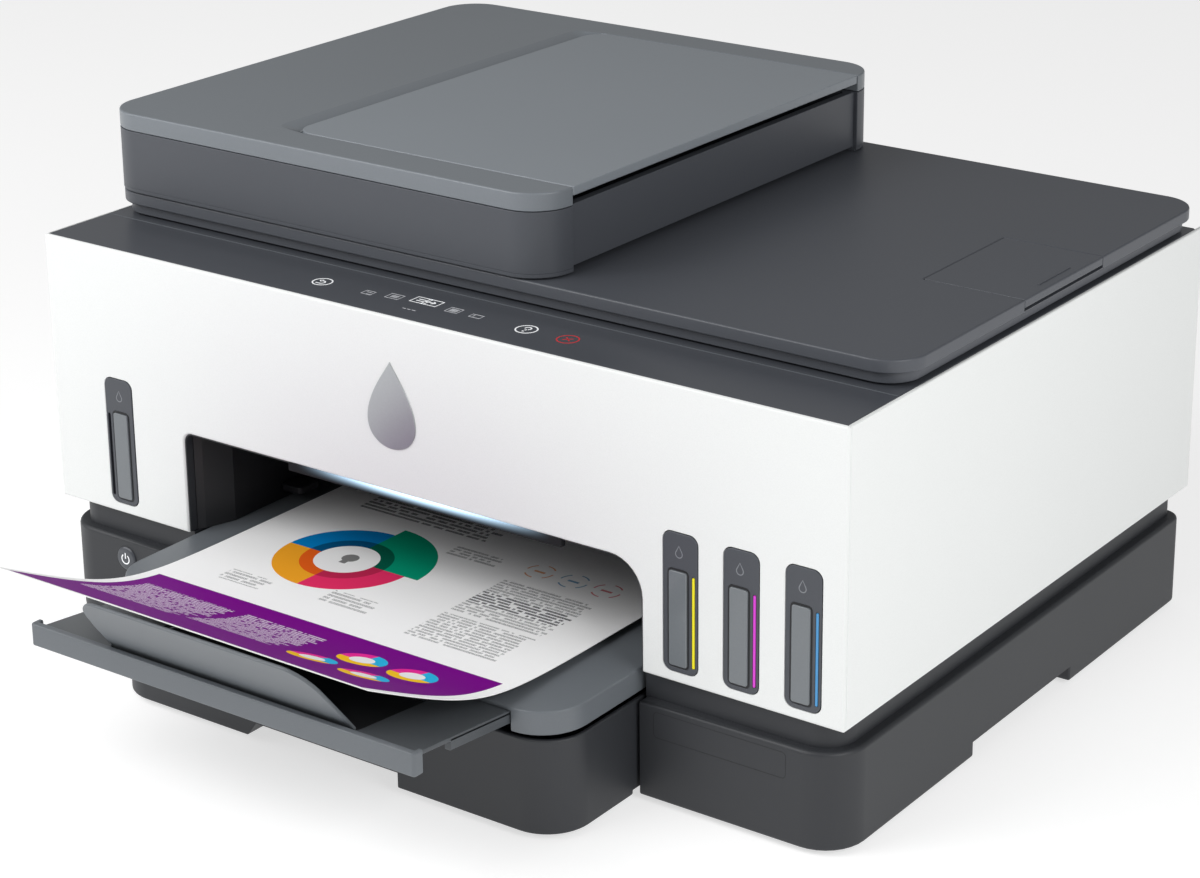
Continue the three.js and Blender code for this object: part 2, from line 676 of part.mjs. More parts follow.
function feederBody() {
  const body = slab(feederXs, feederYs, [feeder.low, feeder.seam - GAP], feeder.corner);
  const works = slab([6, 90], [48, 317], [feeder.low + 2.5, feeder.seam], 12);
  const hopper = slab([95, feeder.right - 6], [outlet.front, outlet.back], [213, feeder.seam], 3);
  const sideRecess = block([feeder.right - 1.8, feeder.right + OVER], [leaf.front, leaf.back], [outlet.top, feeder.seam]);
  const way = block([outlet.left, feeder.right + OVER], [outlet.front, outlet.back], [feeder.low - OVER, outlet.top]);
  const mouthCut = block([88, 97], [70, 295], [222, 230]);
  return cut(body, works, hopper, sideRecess, way, mouthCut);
}

function feederCover() {
  const cover = slab(feederXs, feederYs, [feeder.seam, feeder.top], feeder.corner, 1.4);
  const leafWay = block([leaf.left, feeder.right + OVER], [leaf.front, leaf.back], [feeder.seam - OVER, feeder.top + OVER]);
  const hollow = slab([6, 87], [48, 317], [feeder.seam - OVER, feeder.top - 3], 12);
  return cut(cover, leafWay, hollow);
}

function feederTray() {
  const leafXs = [leaf.left + GAP, feeder.right];
  const leafYs = [leaf.front + GAP, leaf.back - GAP];
  const plate = slab(leafXs, leafYs, [leaf.low, feeder.top], 0.5, 0);
  const trough = extruded(
    'y',
    polygon([
      [feeder.top + OVER, leafXs[0] - OVER],
      [feeder.top - 2, leafXs[0] - OVER],
      [feeder.top - 2, leafXs[0] + 3],
      [feeder.top, leafXs[0] + leaf.groove],
      [feeder.top + OVER, leafXs[0] + leaf.groove],
    ]),
    leafYs[0] + 4,
    leafYs[1] - 4,
  );
  return cut(plate, trough);
}

function feederRoller(x, z, radius, tyres, ys) {
  return joined(
    bar('y', [z, x], 3, ...ys),
    ...tyres.map((y) => bar('y', [z, x], radius, y - 12, y + 12)),
  );
}

// ---------------------------------------------------------------- assembly

const group = new THREE.Group();
group.position.set(-shell.width / 2, -(sheet.front + shell.depth) / 2, feet.height);

function piece(name, finish, solid) {
  const mesh = new THREE.Mesh(geometryOf(solid), new THREE.MeshStandardMaterial(finishes[finish]));
  mesh.name = name;
  group.add(mesh);
}

piece('base_tub', 'charcoal', baseTub());
const footYs = { front: feet.inset, rear: base.back - feet.inset };
for (const [end, y] of Object.entries(footYs)) {
  piece(`foot_${end}_left`, 'rubber', foot(feet.inset, y));
  piece(`foot_${end}_right`, 'rubber', foot(shell.width - feet.inset, y));
}
piece('front_panel', 'white', frontPanel());
piece('side_panel_left', 'white', sidePanel());
piece('side_panel_right', 'white', mirrored(sidePanel(), shell.width / 2));
piece('rear_panel', 'charcoal', rearPanel());
piece('rear_door', 'charcoal', rearDoor());
piece('power_inlet', 'black', powerInlet());
piece('power_button', 'charcoal', powerButton());
piece('mouth_liner', 'black', mouthLiner());
piece('status_light', 'light', statusLight());

for (const item of tanks) {
  piece(`ink_bezel_${item.key}`, 'graphite', inkBezel(item));
  piece(`ink_tank_${item.key}`, 'window', inkTank(item));
  piece(`tank_cap_${item.key}`, 'graphite', tankCap(item));
}

piece('output_tray', 'slate', outputTray());
piece('tray_extension', 'slate', trayExtension());
piece('paper_stop', 'slate', paperStop());
piece('printed_sheet', 'paper', printedSheet());

piece('paper_cassette', 'charcoal', paperCassette());
piece('width_guide_left', 'slate', widthGuide());
piece('width_guide_right', 'slate', mirrored(widthGuide(), middle));
piece('length_guide', 'slate', lengthGuide());

piece('chassis_frame', 'steel', chassisFrame());
piece('guide_rod', 'steel', guideRod());
const shaftSpan = [frame.left - 2, frame.right + 2];
piece('exit_roller', 'rubber', rollerShaft(rollers.exit, ...shaftSpan, evenly(120, 312, 5), 12, 9));
piece('feed_roller', 'rubber', rollerShaft(rollers.feed, ...shaftSpan, evenly(110, 322, 4), 40, 14));
piece('pickup_roller', 'rubber', pickupRoller());
piece('print_carriage', 'black', printCarriage());
piece('carriage_belt', 'rubber', carriageBelt());
piece('idler_pulley', 'steel', pulley(belt.left, frame.back + 8));
piece('drive_pulley', 'steel', pulley(belt.right, frame.back + 32));
piece('carriage_motor', 'steel', carriageMotor());
piece('platen', 'black', platen());
piece('service_station', 'graphite', serviceStation());
piece('power_supply', 'steel', powerSupply());
piece('main_board', 'board', mainBoard());

piece('scanner_base', 'charcoal', scannerBase());
piece('scanner_deck', 'charcoal', scannerDeck());
piece('scan_glass', 'glass', scanGlass());
piece('scan_head', 'black', scanHead());

piece('lid_plate', 'graphite', lidPlate());
piece('lid_pad', 'foam', lidPad());
piece('document_stop', 'graphite', documentStop());
piece('feeder_body', 'graphite', feederBody());
piece('feeder_cover', 'slate', feederCover());
piece('feeder_tray', 'slate', feederTray());
piece('feeder_pick_roller', 'rubber', feederRoller(78, 224, 8.5, [182], [110, 255]));
piece('feeder_feed_roller', 'rubber', feederRoller(40, 221, 11, [90, 150, 215, 275], [60, 305]));

export default group;
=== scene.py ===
"""An ink-tank printer with a scanner, a document feeder, a paper cassette and a printed page in its tray.

Sizes are in millimetres from the shell's front left corner: x to the right, y to the back, z up from the
underside of the base. make() carries them into the frame's metres.
"""

import math

import bmesh
import bpy
import numpy as np
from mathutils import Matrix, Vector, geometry


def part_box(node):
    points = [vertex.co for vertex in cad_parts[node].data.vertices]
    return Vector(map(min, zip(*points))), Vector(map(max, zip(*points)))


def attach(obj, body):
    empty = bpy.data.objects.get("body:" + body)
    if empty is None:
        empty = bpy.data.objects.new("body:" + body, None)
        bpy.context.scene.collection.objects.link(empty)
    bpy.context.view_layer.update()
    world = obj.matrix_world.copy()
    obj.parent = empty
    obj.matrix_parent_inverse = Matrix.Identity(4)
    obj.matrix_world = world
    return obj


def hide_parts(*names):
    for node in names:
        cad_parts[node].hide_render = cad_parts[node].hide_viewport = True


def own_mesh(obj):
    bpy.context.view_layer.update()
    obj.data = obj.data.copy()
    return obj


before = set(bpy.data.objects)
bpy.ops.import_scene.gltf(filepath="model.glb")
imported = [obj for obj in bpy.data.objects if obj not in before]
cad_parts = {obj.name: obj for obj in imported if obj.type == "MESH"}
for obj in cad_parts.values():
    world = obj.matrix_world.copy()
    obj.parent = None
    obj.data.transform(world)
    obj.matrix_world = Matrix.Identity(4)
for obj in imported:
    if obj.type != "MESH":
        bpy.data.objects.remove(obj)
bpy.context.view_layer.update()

bl_info = {
    "name": "Ink-tank printer",
    "version": (1, 0, 0),
    "blender": (4, 5, 0),
    "location": "View3D > Sidebar > Printer",
    "description": "Builds a desktop ink-tank printer around its packed frame",
    "category": "Object",
}

MM = 0.001
SHELL_LOW, SHELL_HIGH = (np.array(corner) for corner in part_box("front_panel"))
SHELL_BOTTOM = 58.0
HOME = SHELL_LOW - np.array([0, 0, SHELL_BOTTOM * MM])  # the drawing corner, in metres
WIDTH = (SHELL_HIGH[0] - SHELL_LOW[0]) / MM
TOP = (SHELL_HIGH[2] - HOME[2]) / MM
DEPTH = (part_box("side_panel_left")[1][1] - HOME[1]) / MM
SHARP = math.radians(32)
FILLET_STEPS = 4
INK_X = {"black": 43.4, "yellow": 367.5, "magenta": 398.0, "cyan": 428.5}
INKS = tuple(INK_X)
GAUGES = [(x, -1 if ink == "black" else 1) for ink, x in INK_X.items()]
MOUTH_LEFT, MOUTH_RIGHT, MOUTH_TOP = 84, 348, 109
MIDDLE = (MOUTH_LEFT + MOUTH_RIGHT) / 2


# ---------------------------------------------------------------- what a user would change


def shade(red, green, blue, description):
    """A colour property from screen values of 0 to 255."""
    linear = [(v / 255 / 12.92) if v < 11 else ((v / 255 + 0.055) / 1.055) ** 2.4
              for v in (red, green, blue)]
    return bpy.props.FloatVectorProperty(
        name=description.split(",")[0].capitalize(),
        description=description,
        subtype="COLOR",
        size=3,
        min=0,
        max=1,
        default=linear,
    )


class PrinterColours(bpy.types.PropertyGroup):
    """Colours of the printer's finishes."""

    white: shade(233, 235, 234, "white shell, its front and sides")
    charcoal: shade(43, 45, 49, "charcoal plastic, the base and the deck")
    graphite: shade(70, 73, 79, "graphite plastic, the lid and the feeder body")
    slate: shade(103, 108, 113, "slate plastic, the trays and the feeder cover")
    black: shade(30, 31, 34, "black plastic, inside the printer")
    window: shade(110, 115, 119, "ink windows, the raised level gauges")
    rubber: shade(33, 34, 36, "rubber, the feet and the rollers")
    steel: shade(176, 178, 182, "steel, the chassis and the rods")
    paper: shade(246, 246, 246, "paper, the printed page")
    band: shade(116, 0, 130, "printed band, at the page's leading edge")
    yellow: shade(240, 228, 30, "yellow mark, beside the yellow tank")
    magenta: shade(214, 58, 206, "magenta mark, beside the magenta tank")
    cyan: shade(72, 146, 200, "cyan mark, beside the cyan tank")
    badge: shade(176, 179, 181, "badge, on the front")


class PrinterSizes(bpy.types.PropertyGroup):
    """Sizes of the details that are not fixed by the frame."""

    grain: bpy.props.FloatProperty(
        name="Grain",
        description="Size of the moulded plastic's grain",
        default=0.35 * MM,
        unit="LENGTH",
        min=0.0001,
        max=0.002,
    )
    curl: bpy.props.FloatProperty(
        name="Page curl",
        description="Slope of the page at its leading edge, as rise over run",
        default=0.52,
        min=0.2,
        max=0.6,
    )


# ---------------------------------------------------------------- surfaces


def unit(vectors):
    """The vectors divided by their lengths."""
    return vectors / np.maximum(np.linalg.norm(vectors, axis=-1, keepdims=True), 1e-12)


def corner_ring(corners, radii, inset=0.0, steps=8):
    """A closed line with rounded corners, as an array of points.

    Each corner moves along its bisector by inset over the sine of half its angle, which keeps every side
    parallel and the same distance in. The arc then runs between the two tangent points, at radius over the
    tangent of half the angle from the corner, as a turn of the vector from the arc's centre.
    """
    p = np.asarray(corners, float)
    r = np.broadcast_to(np.asarray(radii, float), (len(p),))
    back, ahead = unit(np.roll(p, 1, 0) - p), unit(np.roll(p, -1, 0) - p)
    turn = np.sign(back[:, 1] * ahead[:, 0] - back[:, 0] * ahead[:, 1])
    half = np.arccos(np.clip((back * ahead).sum(1), -1, 1)) / 2
    mid = unit(back + ahead)
    p = p + mid * (turn * inset / np.sin(half))[:, None]
    r = np.maximum(r - turn * inset, 0)
    centre = p + mid * (r / np.sin(half))[:, None]
    reach = (r / np.tan(half))[:, None]
    sweep = (math.pi - 2 * half)[:, None, None]
    t = np.linspace(0, 1, steps + 1)[None, :, None]
    start, end = (p + back * reach - centre)[:, None], (p + ahead * reach - centre)[:, None]
    arc = (np.sin((1 - t) * sweep) * start + np.sin(t * sweep) * end) / np.sin(sweep)
    return (centre[:, None] + arc).reshape(-1, 2)


COLUMNS = {"z": (0, 1, 2), "x": (1, 2, 0), "y": (0, 2, 1)}


def on_axis(flat, level, axis):
    """Points of a flat drawing at a level of the axis: (x, y) at z, (y, z) at x or (x, z) at y."""
    points = np.empty((*flat.shape[:-1], 3))
    u, v, w = COLUMNS[axis]
    points[..., u], points[..., v], points[..., w] = flat[..., 0], flat[..., 1], level
    return points


def strips(rows, columns, start=0, closed=True):
    """Quads of a grid of points, whose columns close on themselves."""
    i, j = np.meshgrid(np.arange(rows - 1), np.arange(columns if closed else columns - 1), indexing="ij")
    k = (j + 1) % columns
    quads = np.stack([i * columns + j, i * columns + k, (i + 1) * columns + k, (i + 1) * columns + j], -1)
    return quads.reshape(-1, 4) + start


def caps(rings, starts, upward):
    """Triangles that fill the first ring and leave the others open, numbered from each ring's start."""
    kept = [np.flatnonzero(np.linalg.norm(ring - np.roll(ring, 1, 0), axis=1) > 1e-5) for ring in rings]
    loops = [[(*point, 0.0) for point in ring[keep].tolist()] for ring, keep in zip(rings, kept)]
    tris = np.array(geometry.tessellate_polygon(loops), int).reshape(-1, 3)
    flat = np.concatenate([ring[keep] for ring, keep in zip(rings, kept)])
    index = np.concatenate([keep + start for keep, start in zip(kept, starts)])
    a, b, c = (flat[tris[:, n]] for n in range(3))
    area = (b[:, 0] - a[:, 0]) * (c[:, 1] - a[:, 1]) - (b[:, 1] - a[:, 1]) * (c[:, 0] - a[:, 0])
    tris[(area > 0) != upward] = tris[(area > 0) != upward][:, ::-1]
    return index[tris[np.abs(area) > 1e-9]]


def loop_of(corners, radii=0.0, fillet=None):
    """An outline or a hole for moulded(): its corners, their radii and the fillet of its rims."""
    return {"corners": np.asarray(corners, float), "radii": radii, "fillet": fillet}


def rect(u0, u1, v0, v1, radii=0.0, fillet=None):
    """A rectangular loop between two values of each drawing axis."""
    return loop_of([(u0, v0), (u1, v0), (u1, v1), (u0, v1)], radii, fillet)


def moulded(axis, loops, low, high, fillets=(0.6, 0.6), steps=8):
    """A closed solid with walls along the loops, the first its outline and the others holes through it.

    A fillet of radius f runs round each end: at an angle q the wall is inset by f(1 - sin q), at a level
    f(1 - cos q) from the end. A loop whose corners are a pair runs straight from the first drawing at the
    low end to the second at the high end.
    """
    points, quads, ends, starts = [], [], ([], []), []
    q = np.linspace(0, math.pi / 2, FILLET_STEPS + 1)
    total = 0
    for n, loop in enumerate(loops):
        corners, radii = loop["corners"], np.broadcast_to(loop["radii"], loop["corners"].shape[-2])
        pair = corners if corners.ndim == 3 else np.stack([corners, corners])
        x, y = pair[0, :, 0], pair[0, :, 1]
        area = (x * np.roll(y, -1) - y * np.roll(x, -1)).sum()
        if (area < 0) != (n > 0):
            pair, radii = pair[:, ::-1], radii[::-1]
        below, above = fillets if loop["fillet"] is None else (loop["fillet"] * (f > 0) for f in fillets)
        first = q if below else q[-1:]
        last = q[::-1] if above else q[-1:]
        levels = np.concatenate([low + below * (1 - np.cos(first)), high - above * (1 - np.cos(last))])
        if not below:
            levels[0] = low
        if not above:
            levels[-1] = high
        insets = np.concatenate([below * (1 - np.sin(first)), above * (1 - np.sin(last))])
        rings = []
        for level, inset in zip(levels, insets):
            t = (level - low) / (high - low)
            rings.append(corner_ring(pair[0] * (1 - t) + pair[1] * t, radii, inset, steps))
        rings = np.stack(rings)
        points.append(on_axis(rings, levels[:, None], axis).reshape(-1, 3))
        quads.append(strips(len(rings), rings.shape[1], total))
        ends[0].append(rings[0])
        ends[1].append(rings[-1])
        starts.append((total, total + (len(rings) - 1) * rings.shape[1]))
        total += rings.shape[0] * rings.shape[1]
    tris = [caps(ends[0], [s[0] for s in starts], False), caps(ends[1], [s[1] for s in starts], True)]
    return oriented(np.concatenate(points), np.concatenate(quads), np.concatenate(tris), axis)


def oriented(points, quads, tris, axis):
    """A drawing in (x, z) is seen from the back, so its faces are turned over."""
    return (points, quads[:, ::-1], tris[:, ::-1]) if axis == "y" else (points, quads, tris)


def turned(axis, centre, profile, steps=48):
    """A surface of revolution: each (along, radius) of the profile sweeps a circle round the axis."""
    profile = np.asarray(profile, float)
    angle = np.linspace(0, 2 * math.pi, steps, endpoint=False)
    circle = np.stack([np.cos(angle), np.sin(angle)], -1)
    flat = np.asarray(centre, float) + profile[:, None, 1:] * circle
    points = on_axis(flat, profile[:, :1], axis).reshape(-1, 3)
    return oriented(points, strips(len(profile), steps), np.zeros((0, 3), int), axis)


def rod_profile(low, high, radius, rounding=0.3):
    """A plain cylinder with rounded rims, as (along, radius)."""
    q = np.linspace(0, math.pi / 2, FILLET_STEPS + 1)
    rim = np.stack([rounding * (1 - np.cos(q)), radius - rounding * (1 - np.sin(q))], -1)
    start = np.array([low, 0]) + rim * [1, 1]
    end = np.array([high, 0]) + (rim * [-1, 1])[::-1]
    return np.concatenate([[[low, 0]], start, end, [[high, 0]]])


def ribbon(axis, lines, width, level, height=0.05):
    """Shallow raised strokes along drawn lines: each point is moved half the width to both sides along the
    line's normal, at the level and above it by the height, towards the low side when that is negative."""
    parts = []
    for line in lines:
        line = np.asarray(line, float)
        closed = np.allclose(line[0], line[-1])
        along = unit(np.gradient(line, axis=0))
        if closed:
            along[[0, -1]] = unit(along[0] + along[-1])
        side = np.stack([-along[:, 1], along[:, 0]], -1) * width / 2
        flat = np.stack([line - side, line + side, line + side, line - side], 1)
        levels = level + np.array([0, 0, height, height])
        points = on_axis(flat, levels[None, :], axis).reshape(-1, 3)
        quads = strips(len(line), 4)
        if not closed:
            quads = np.concatenate([quads, [[3, 2, 1, 0]], [np.arange(4) + 4 * (len(line) - 1)]])
        if height > 0:
            quads = quads[:, ::-1]
        parts.append(oriented(points, quads[:, ::-1], np.zeros((0, 3), int), axis))
    return parts


def arc(x, y, radius, start=0.0, end=360.0, steps=32):
    """Points at one distance from a centre, between two angles in degrees."""
    angle = np.radians(np.linspace(start, end, steps + 1))
    return np.stack([x + radius * np.cos(angle), y + radius * np.sin(angle)], -1)


def turn_over(part, pivot, degrees):
    """The part turned about a line along x through the pivot (y, z)."""
    points, quads, tris = part
    c, s = math.cos(math.radians(degrees)), math.sin(math.radians(degrees))
    moved = points - np.array([0, *pivot])
    across, up = c * moved[:, 1] - s * moved[:, 2], s * moved[:, 1] + c * moved[:, 2]
    return np.stack([moved[:, 0], across, up], -1) + np.array([0, *pivot]), quads, tris


def make(name, parts, finish, body, replaced=()):
    """Joins closed parts into one piece, smooth between its sharp edges, and rides it on its body."""
    points, faces, total = [], [], 0
    for part_points, quads, tris in parts:
        points.append(part_points * MM + HOME)
        faces += (quads + total).tolist() + (tris + total).tolist()
        total += len(part_points)
    mesh = bpy.data.meshes.new(name)
    mesh.from_pydata(np.concatenate(points).tolist(), [], faces)
    cleaner = bmesh.new()
    cleaner.from_mesh(mesh)
    bmesh.ops.dissolve_degenerate(cleaner, dist=1e-7, edges=cleaner.edges[:])
    cleaner.to_mesh(mesh)
    cleaner.free()
    mesh.polygons.foreach_set("use_smooth", np.ones(len(mesh.polygons), bool))
    mesh.set_sharp_from_angle(angle=SHARP)
    piece = bpy.data.objects.new(name, mesh)
    bpy.context.scene.collection.objects.link(piece)
    normals = piece.modifiers.new("Weighted normals", "WEIGHTED_NORMAL")
    normals.keep_sharp = True
    mesh.materials.append(bpy.data.materials[f"{finish}_finish"])
    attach(piece, body)
    if replaced:
        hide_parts(*replaced)
    return piece


# ---------------------------------------------------------------- finishes


class Term:
    """A value on a node tree that sums, products and comparisons are written with."""

    def __init__(self, tree, socket):
        self.tree, self.socket = tree, socket

    def math(self, operation, *others):
        made = self.tree.nodes.new("ShaderNodeMath")
        made.operation = operation
        for slot, value in zip(made.inputs, (self, *others)):
            if isinstance(value, Term):
                self.tree.links.new(value.socket, slot)
            else:
                slot.default_value = value
        return Term(self.tree, made.outputs[0])

    def __add__(self, other):
        return self.math("ADD", other)

    def __sub__(self, other):
        return self.math("SUBTRACT", other)

    def __mul__(self, other):
        return self.math("MULTIPLY", other)

    def __truediv__(self, other):
        return self.math("DIVIDE", other)

    def __gt__(self, other):
        return self.math("GREATER_THAN", other)

    def __lt__(self, other):
        return self.math("LESS_THAN", other)

    def within(self, low, high):
        return (self > low) * (self < high)


def node(tree, kind, links=None, **values):
    """A node with some inputs linked and others set, by name."""
    made = tree.nodes.new(kind)
    for key, value in values.items():
        if hasattr(made, key):
            setattr(made, key, value)
        else:
            made.inputs[key.replace("_", " ")].default_value = value
    for key, socket in (links or {}).items():
        tree.links.new(socket, made.inputs[key])
    return made


def skin_group():
    """Moulded skin: a fine grain in the height, and a slow mottle in the colour and the roughness."""
    group = bpy.data.node_groups.new("moulded_skin", "ShaderNodeTree")
    for name, kind in (("Colour", "NodeSocketColor"), ("Grain Scale", "NodeSocketFloat"),
                       ("Mottle", "NodeSocketFloat"), ("Roughness", "NodeSocketFloat")):
        group.interface.new_socket(name, in_out="INPUT", socket_type=kind)
    for name, kind in (("Colour", "NodeSocketColor"), ("Roughness", "NodeSocketFloat"),
                       ("Height", "NodeSocketFloat")):
        group.interface.new_socket(name, in_out="OUTPUT", socket_type=kind)
    given, out = group.nodes.new("NodeGroupInput"), group.nodes.new("NodeGroupOutput")
    place = group.nodes.new("ShaderNodeTexCoord").outputs["Object"]
    scale = given.outputs["Grain Scale"]
    grain = node(group, "ShaderNodeTexNoise", {"Vector": place, "Scale": scale}, Detail=2.0)
    slow = node(group, "ShaderNodeTexNoise", {"Vector": place}, Scale=9.0, Detail=3.0)
    sway = (Term(group, slow.outputs[0]) - 0.5) * Term(group, given.outputs["Mottle"])
    speck = (Term(group, grain.outputs[0]) - 0.5) * 0.1
    value = sway + speck + 1.0
    tint = node(group, "ShaderNodeVectorMath", {0: given.outputs["Colour"]}, operation="SCALE")
    group.links.new(value.socket, tint.inputs["Scale"])
    group.links.new(tint.outputs[0], out.inputs["Colour"])
    rough = Term(group, given.outputs["Roughness"]) + sway * 0.6 + speck * 0.5
    group.links.new(rough.socket, out.inputs["Roughness"])
    group.links.new(grain.outputs[0], out.inputs["Height"])


def dust_group():
    """Settled dust: a mask that is full on faces that look up, broken by two scales of noise."""
    group = bpy.data.node_groups.new("settled_dust", "ShaderNodeTree")
    group.interface.new_socket("Amount", in_out="INPUT", socket_type="NodeSocketFloat")
    group.interface.new_socket("Mask", in_out="OUTPUT", socket_type="NodeSocketFloat")
    given, out = group.nodes.new("NodeGroupInput"), group.nodes.new("NodeGroupOutput")
    place = group.nodes.new("ShaderNodeTexCoord")
    upward = node(group, "ShaderNodeSeparateXYZ", {0: place.outputs["Normal"]})
    cloud = node(group, "ShaderNodeTexNoise", {"Vector": place.outputs["Object"]}, Scale=14.0, Detail=5.0)
    fleck = node(group, "ShaderNodeTexNoise", {"Vector": place.outputs["Object"]}, Scale=900.0, Detail=1.0)
    flecks = Term(group, fleck.outputs[0]) > 0.7
    settled = Term(group, upward.outputs["Z"]).math("MAXIMUM", 0.0)
    patches = Term(group, cloud.outputs[0]) * 0.8 + flecks * 0.6
    mask = settled * patches * Term(group, given.outputs["Amount"])
    group.links.new(mask.socket, out.inputs["Mask"])


def blank(name):
    """A new finish with its node tree and its shader."""
    material = bpy.data.materials.new(f"{name}_finish")
    material.use_nodes = True
    tree = material.node_tree
    return material, tree, tree.nodes["Principled BSDF"]


def plastic(name, colour, roughness, grain, bump=0.25, mottle=0.05, dust=0.0, **sockets):
    """A moulded plastic or rubber: grain in the bump, mottle in the colour, and a little dust on top."""
    _, tree, shader = blank(name)
    skin = node(tree, "ShaderNodeGroup", node_tree=bpy.data.node_groups["moulded_skin"])
    skin.inputs["Colour"].default_value = (*colour, 1)
    skin.inputs["Grain Scale"].default_value = 0.5 / grain
    skin.inputs["Mottle"].default_value = mottle
    skin.inputs["Roughness"].default_value = roughness
    result = skin.outputs["Colour"]
    if dust:
        settled = node(tree, "ShaderNodeGroup", node_tree=bpy.data.node_groups["settled_dust"])
        settled.inputs["Amount"].default_value = dust
        result = layered(tree, result, (0.62, 0.62, 0.62), settled.outputs["Mask"])
    tree.links.new(result, shader.inputs["Base Color"])
    tree.links.new(skin.outputs["Roughness"], shader.inputs["Roughness"])
    height = skin.outputs["Height"]
    raised = node(tree, "ShaderNodeBump", {"Height": height}, Strength=bump, Distance=grain * 0.2)
    tree.links.new(raised.outputs[0], shader.inputs["Normal"])
    for key, value in sockets.items():
        shader.inputs[key.replace("_", " ")].default_value = value


def layered(tree, below, above, mask):
    """The colour above laid over the one below, by a mask."""
    mix = node(tree, "ShaderNodeMix", data_type="RGBA")
    tree.links.new(mask.socket if isinstance(mask, Term) else mask, mix.inputs[0])
    tree.links.new(below, mix.inputs[6])
    mix.inputs[7].default_value = (*above, 1)
    return mix.outputs[2]


def brushed_steel(colour):
    """Zinc-plated sheet: streaks along x from a stretched noise, with spangles in the roughness."""
    _, tree, shader = blank("steel")
    place = tree.nodes.new("ShaderNodeTexCoord").outputs["Object"]
    stretch = node(tree, "ShaderNodeMapping", {"Vector": place}, Scale=(40, 900, 900))
    streaks = node(tree, "ShaderNodeTexNoise", {"Vector": stretch.outputs[0]}, Scale=1.0, Detail=3.0)
    spangle = node(tree, "ShaderNodeTexVoronoi", {"Vector": place}, Scale=160.0)
    rough = Term(tree, streaks.outputs[0]) * 0.2 + Term(tree, spangle.outputs["Distance"]) * 0.15 + 0.22
    tint = node(tree, "ShaderNodeVectorMath", operation="SCALE")
    tint.inputs[0].default_value = colour
    tree.links.new((Term(tree, streaks.outputs[0]) * 0.3 + 0.8).socket, tint.inputs["Scale"])
    tree.links.new(tint.outputs[0], shader.inputs["Base Color"])
    tree.links.new(rough.socket, shader.inputs["Roughness"])
    raised = node(tree, "ShaderNodeBump", {"Height": streaks.outputs[0]}, Strength=0.1, Distance=0.0001)
    tree.links.new(raised.outputs[0], shader.inputs["Normal"])
    shader.inputs["Metallic"].default_value = 1.0


def circuit_board():
    """Solder mask with copper tracks: fine square waves across x and y, broken into runs by noise cells."""
    _, tree, shader = blank("circuit_board")
    place = node(tree, "ShaderNodeSeparateXYZ", {0: tree.nodes.new("ShaderNodeTexCoord").outputs["Object"]})
    x, y = Term(tree, place.outputs["X"]), Term(tree, place.outputs["Y"])
    cell = {0: (x * 120.0).math("FLOOR").socket, 1: (y * 150.0).math("FLOOR").socket}
    at_cell = node(tree, "ShaderNodeCombineXYZ", cell).outputs[0]
    cells = node(tree, "ShaderNodeTexWhiteNoise", {"Vector": at_cell})
    pick = Term(tree, cells.outputs[0])
    across = ((x * 700.0).math("FRACT") > 0.62) * (pick > 0.55)
    along = ((y * 700.0).math("FRACT") > 0.62) * (pick < 0.35)
    tracks = across.math("MAXIMUM", along)
    mask = node(tree, "ShaderNodeRGB")
    mask.outputs[0].default_value = (0.012, 0.075, 0.03, 1)
    tree.links.new(layered(tree, mask.outputs[0], (0.05, 0.2, 0.08), tracks), shader.inputs["Base Color"])
    raised = node(tree, "ShaderNodeBump", {"Height": tracks.socket}, Strength=0.4, Distance=0.0001)
    tree.links.new(raised.outputs[0], shader.inputs["Normal"])
    shader.inputs["Roughness"].default_value = 0.35


def glowing(name, colour, strength, middle, reach, foot, height):
    """A light guide that is brightest at its middle and top: (1 - (x / reach)^2)^2 along it, times the
    square of the height over its foot."""
    _, tree, shader = blank(name)
    place = node(tree, "ShaderNodeSeparateXYZ", {0: tree.nodes.new("ShaderNodeTexCoord").outputs["Object"]})
    offset = (Term(tree, place.outputs["X"]) - middle) / reach
    along = (offset * offset * -1.0 + 1.0).math("MAXIMUM", 0.0)
    rise = ((Term(tree, place.outputs["Z"]) - foot) / height).math("MAXIMUM", 0.0)
    glow = node(tree, "ShaderNodeVectorMath", operation="SCALE")
    glow.inputs[0].default_value = colour
    tree.links.new((along * along * rise * rise).socket, glow.inputs["Scale"])
    tree.links.new(glow.outputs[0], shader.inputs["Emission Color"])
    shader.inputs["Emission Strength"].default_value = strength
    shader.inputs["Base Color"].default_value = (0.02, 0.02, 0.022, 1)
    shader.inputs["Roughness"].default_value = 0.7
    shader.inputs["Specular IOR Level"].default_value = 0.05


def paint(name, colour, roughness=0.4, **sockets):
    """A printed or painted mark, smoother than the plastic under it."""
    plastic(name, colour, roughness, 0.0004, bump=0.05, mottle=0.06, **sockets)


PAGE = {"width": 210.0, "length": 297.0, "left": 109.0, "tail": 148.0, "front": -142.3, "rest": 59.45}


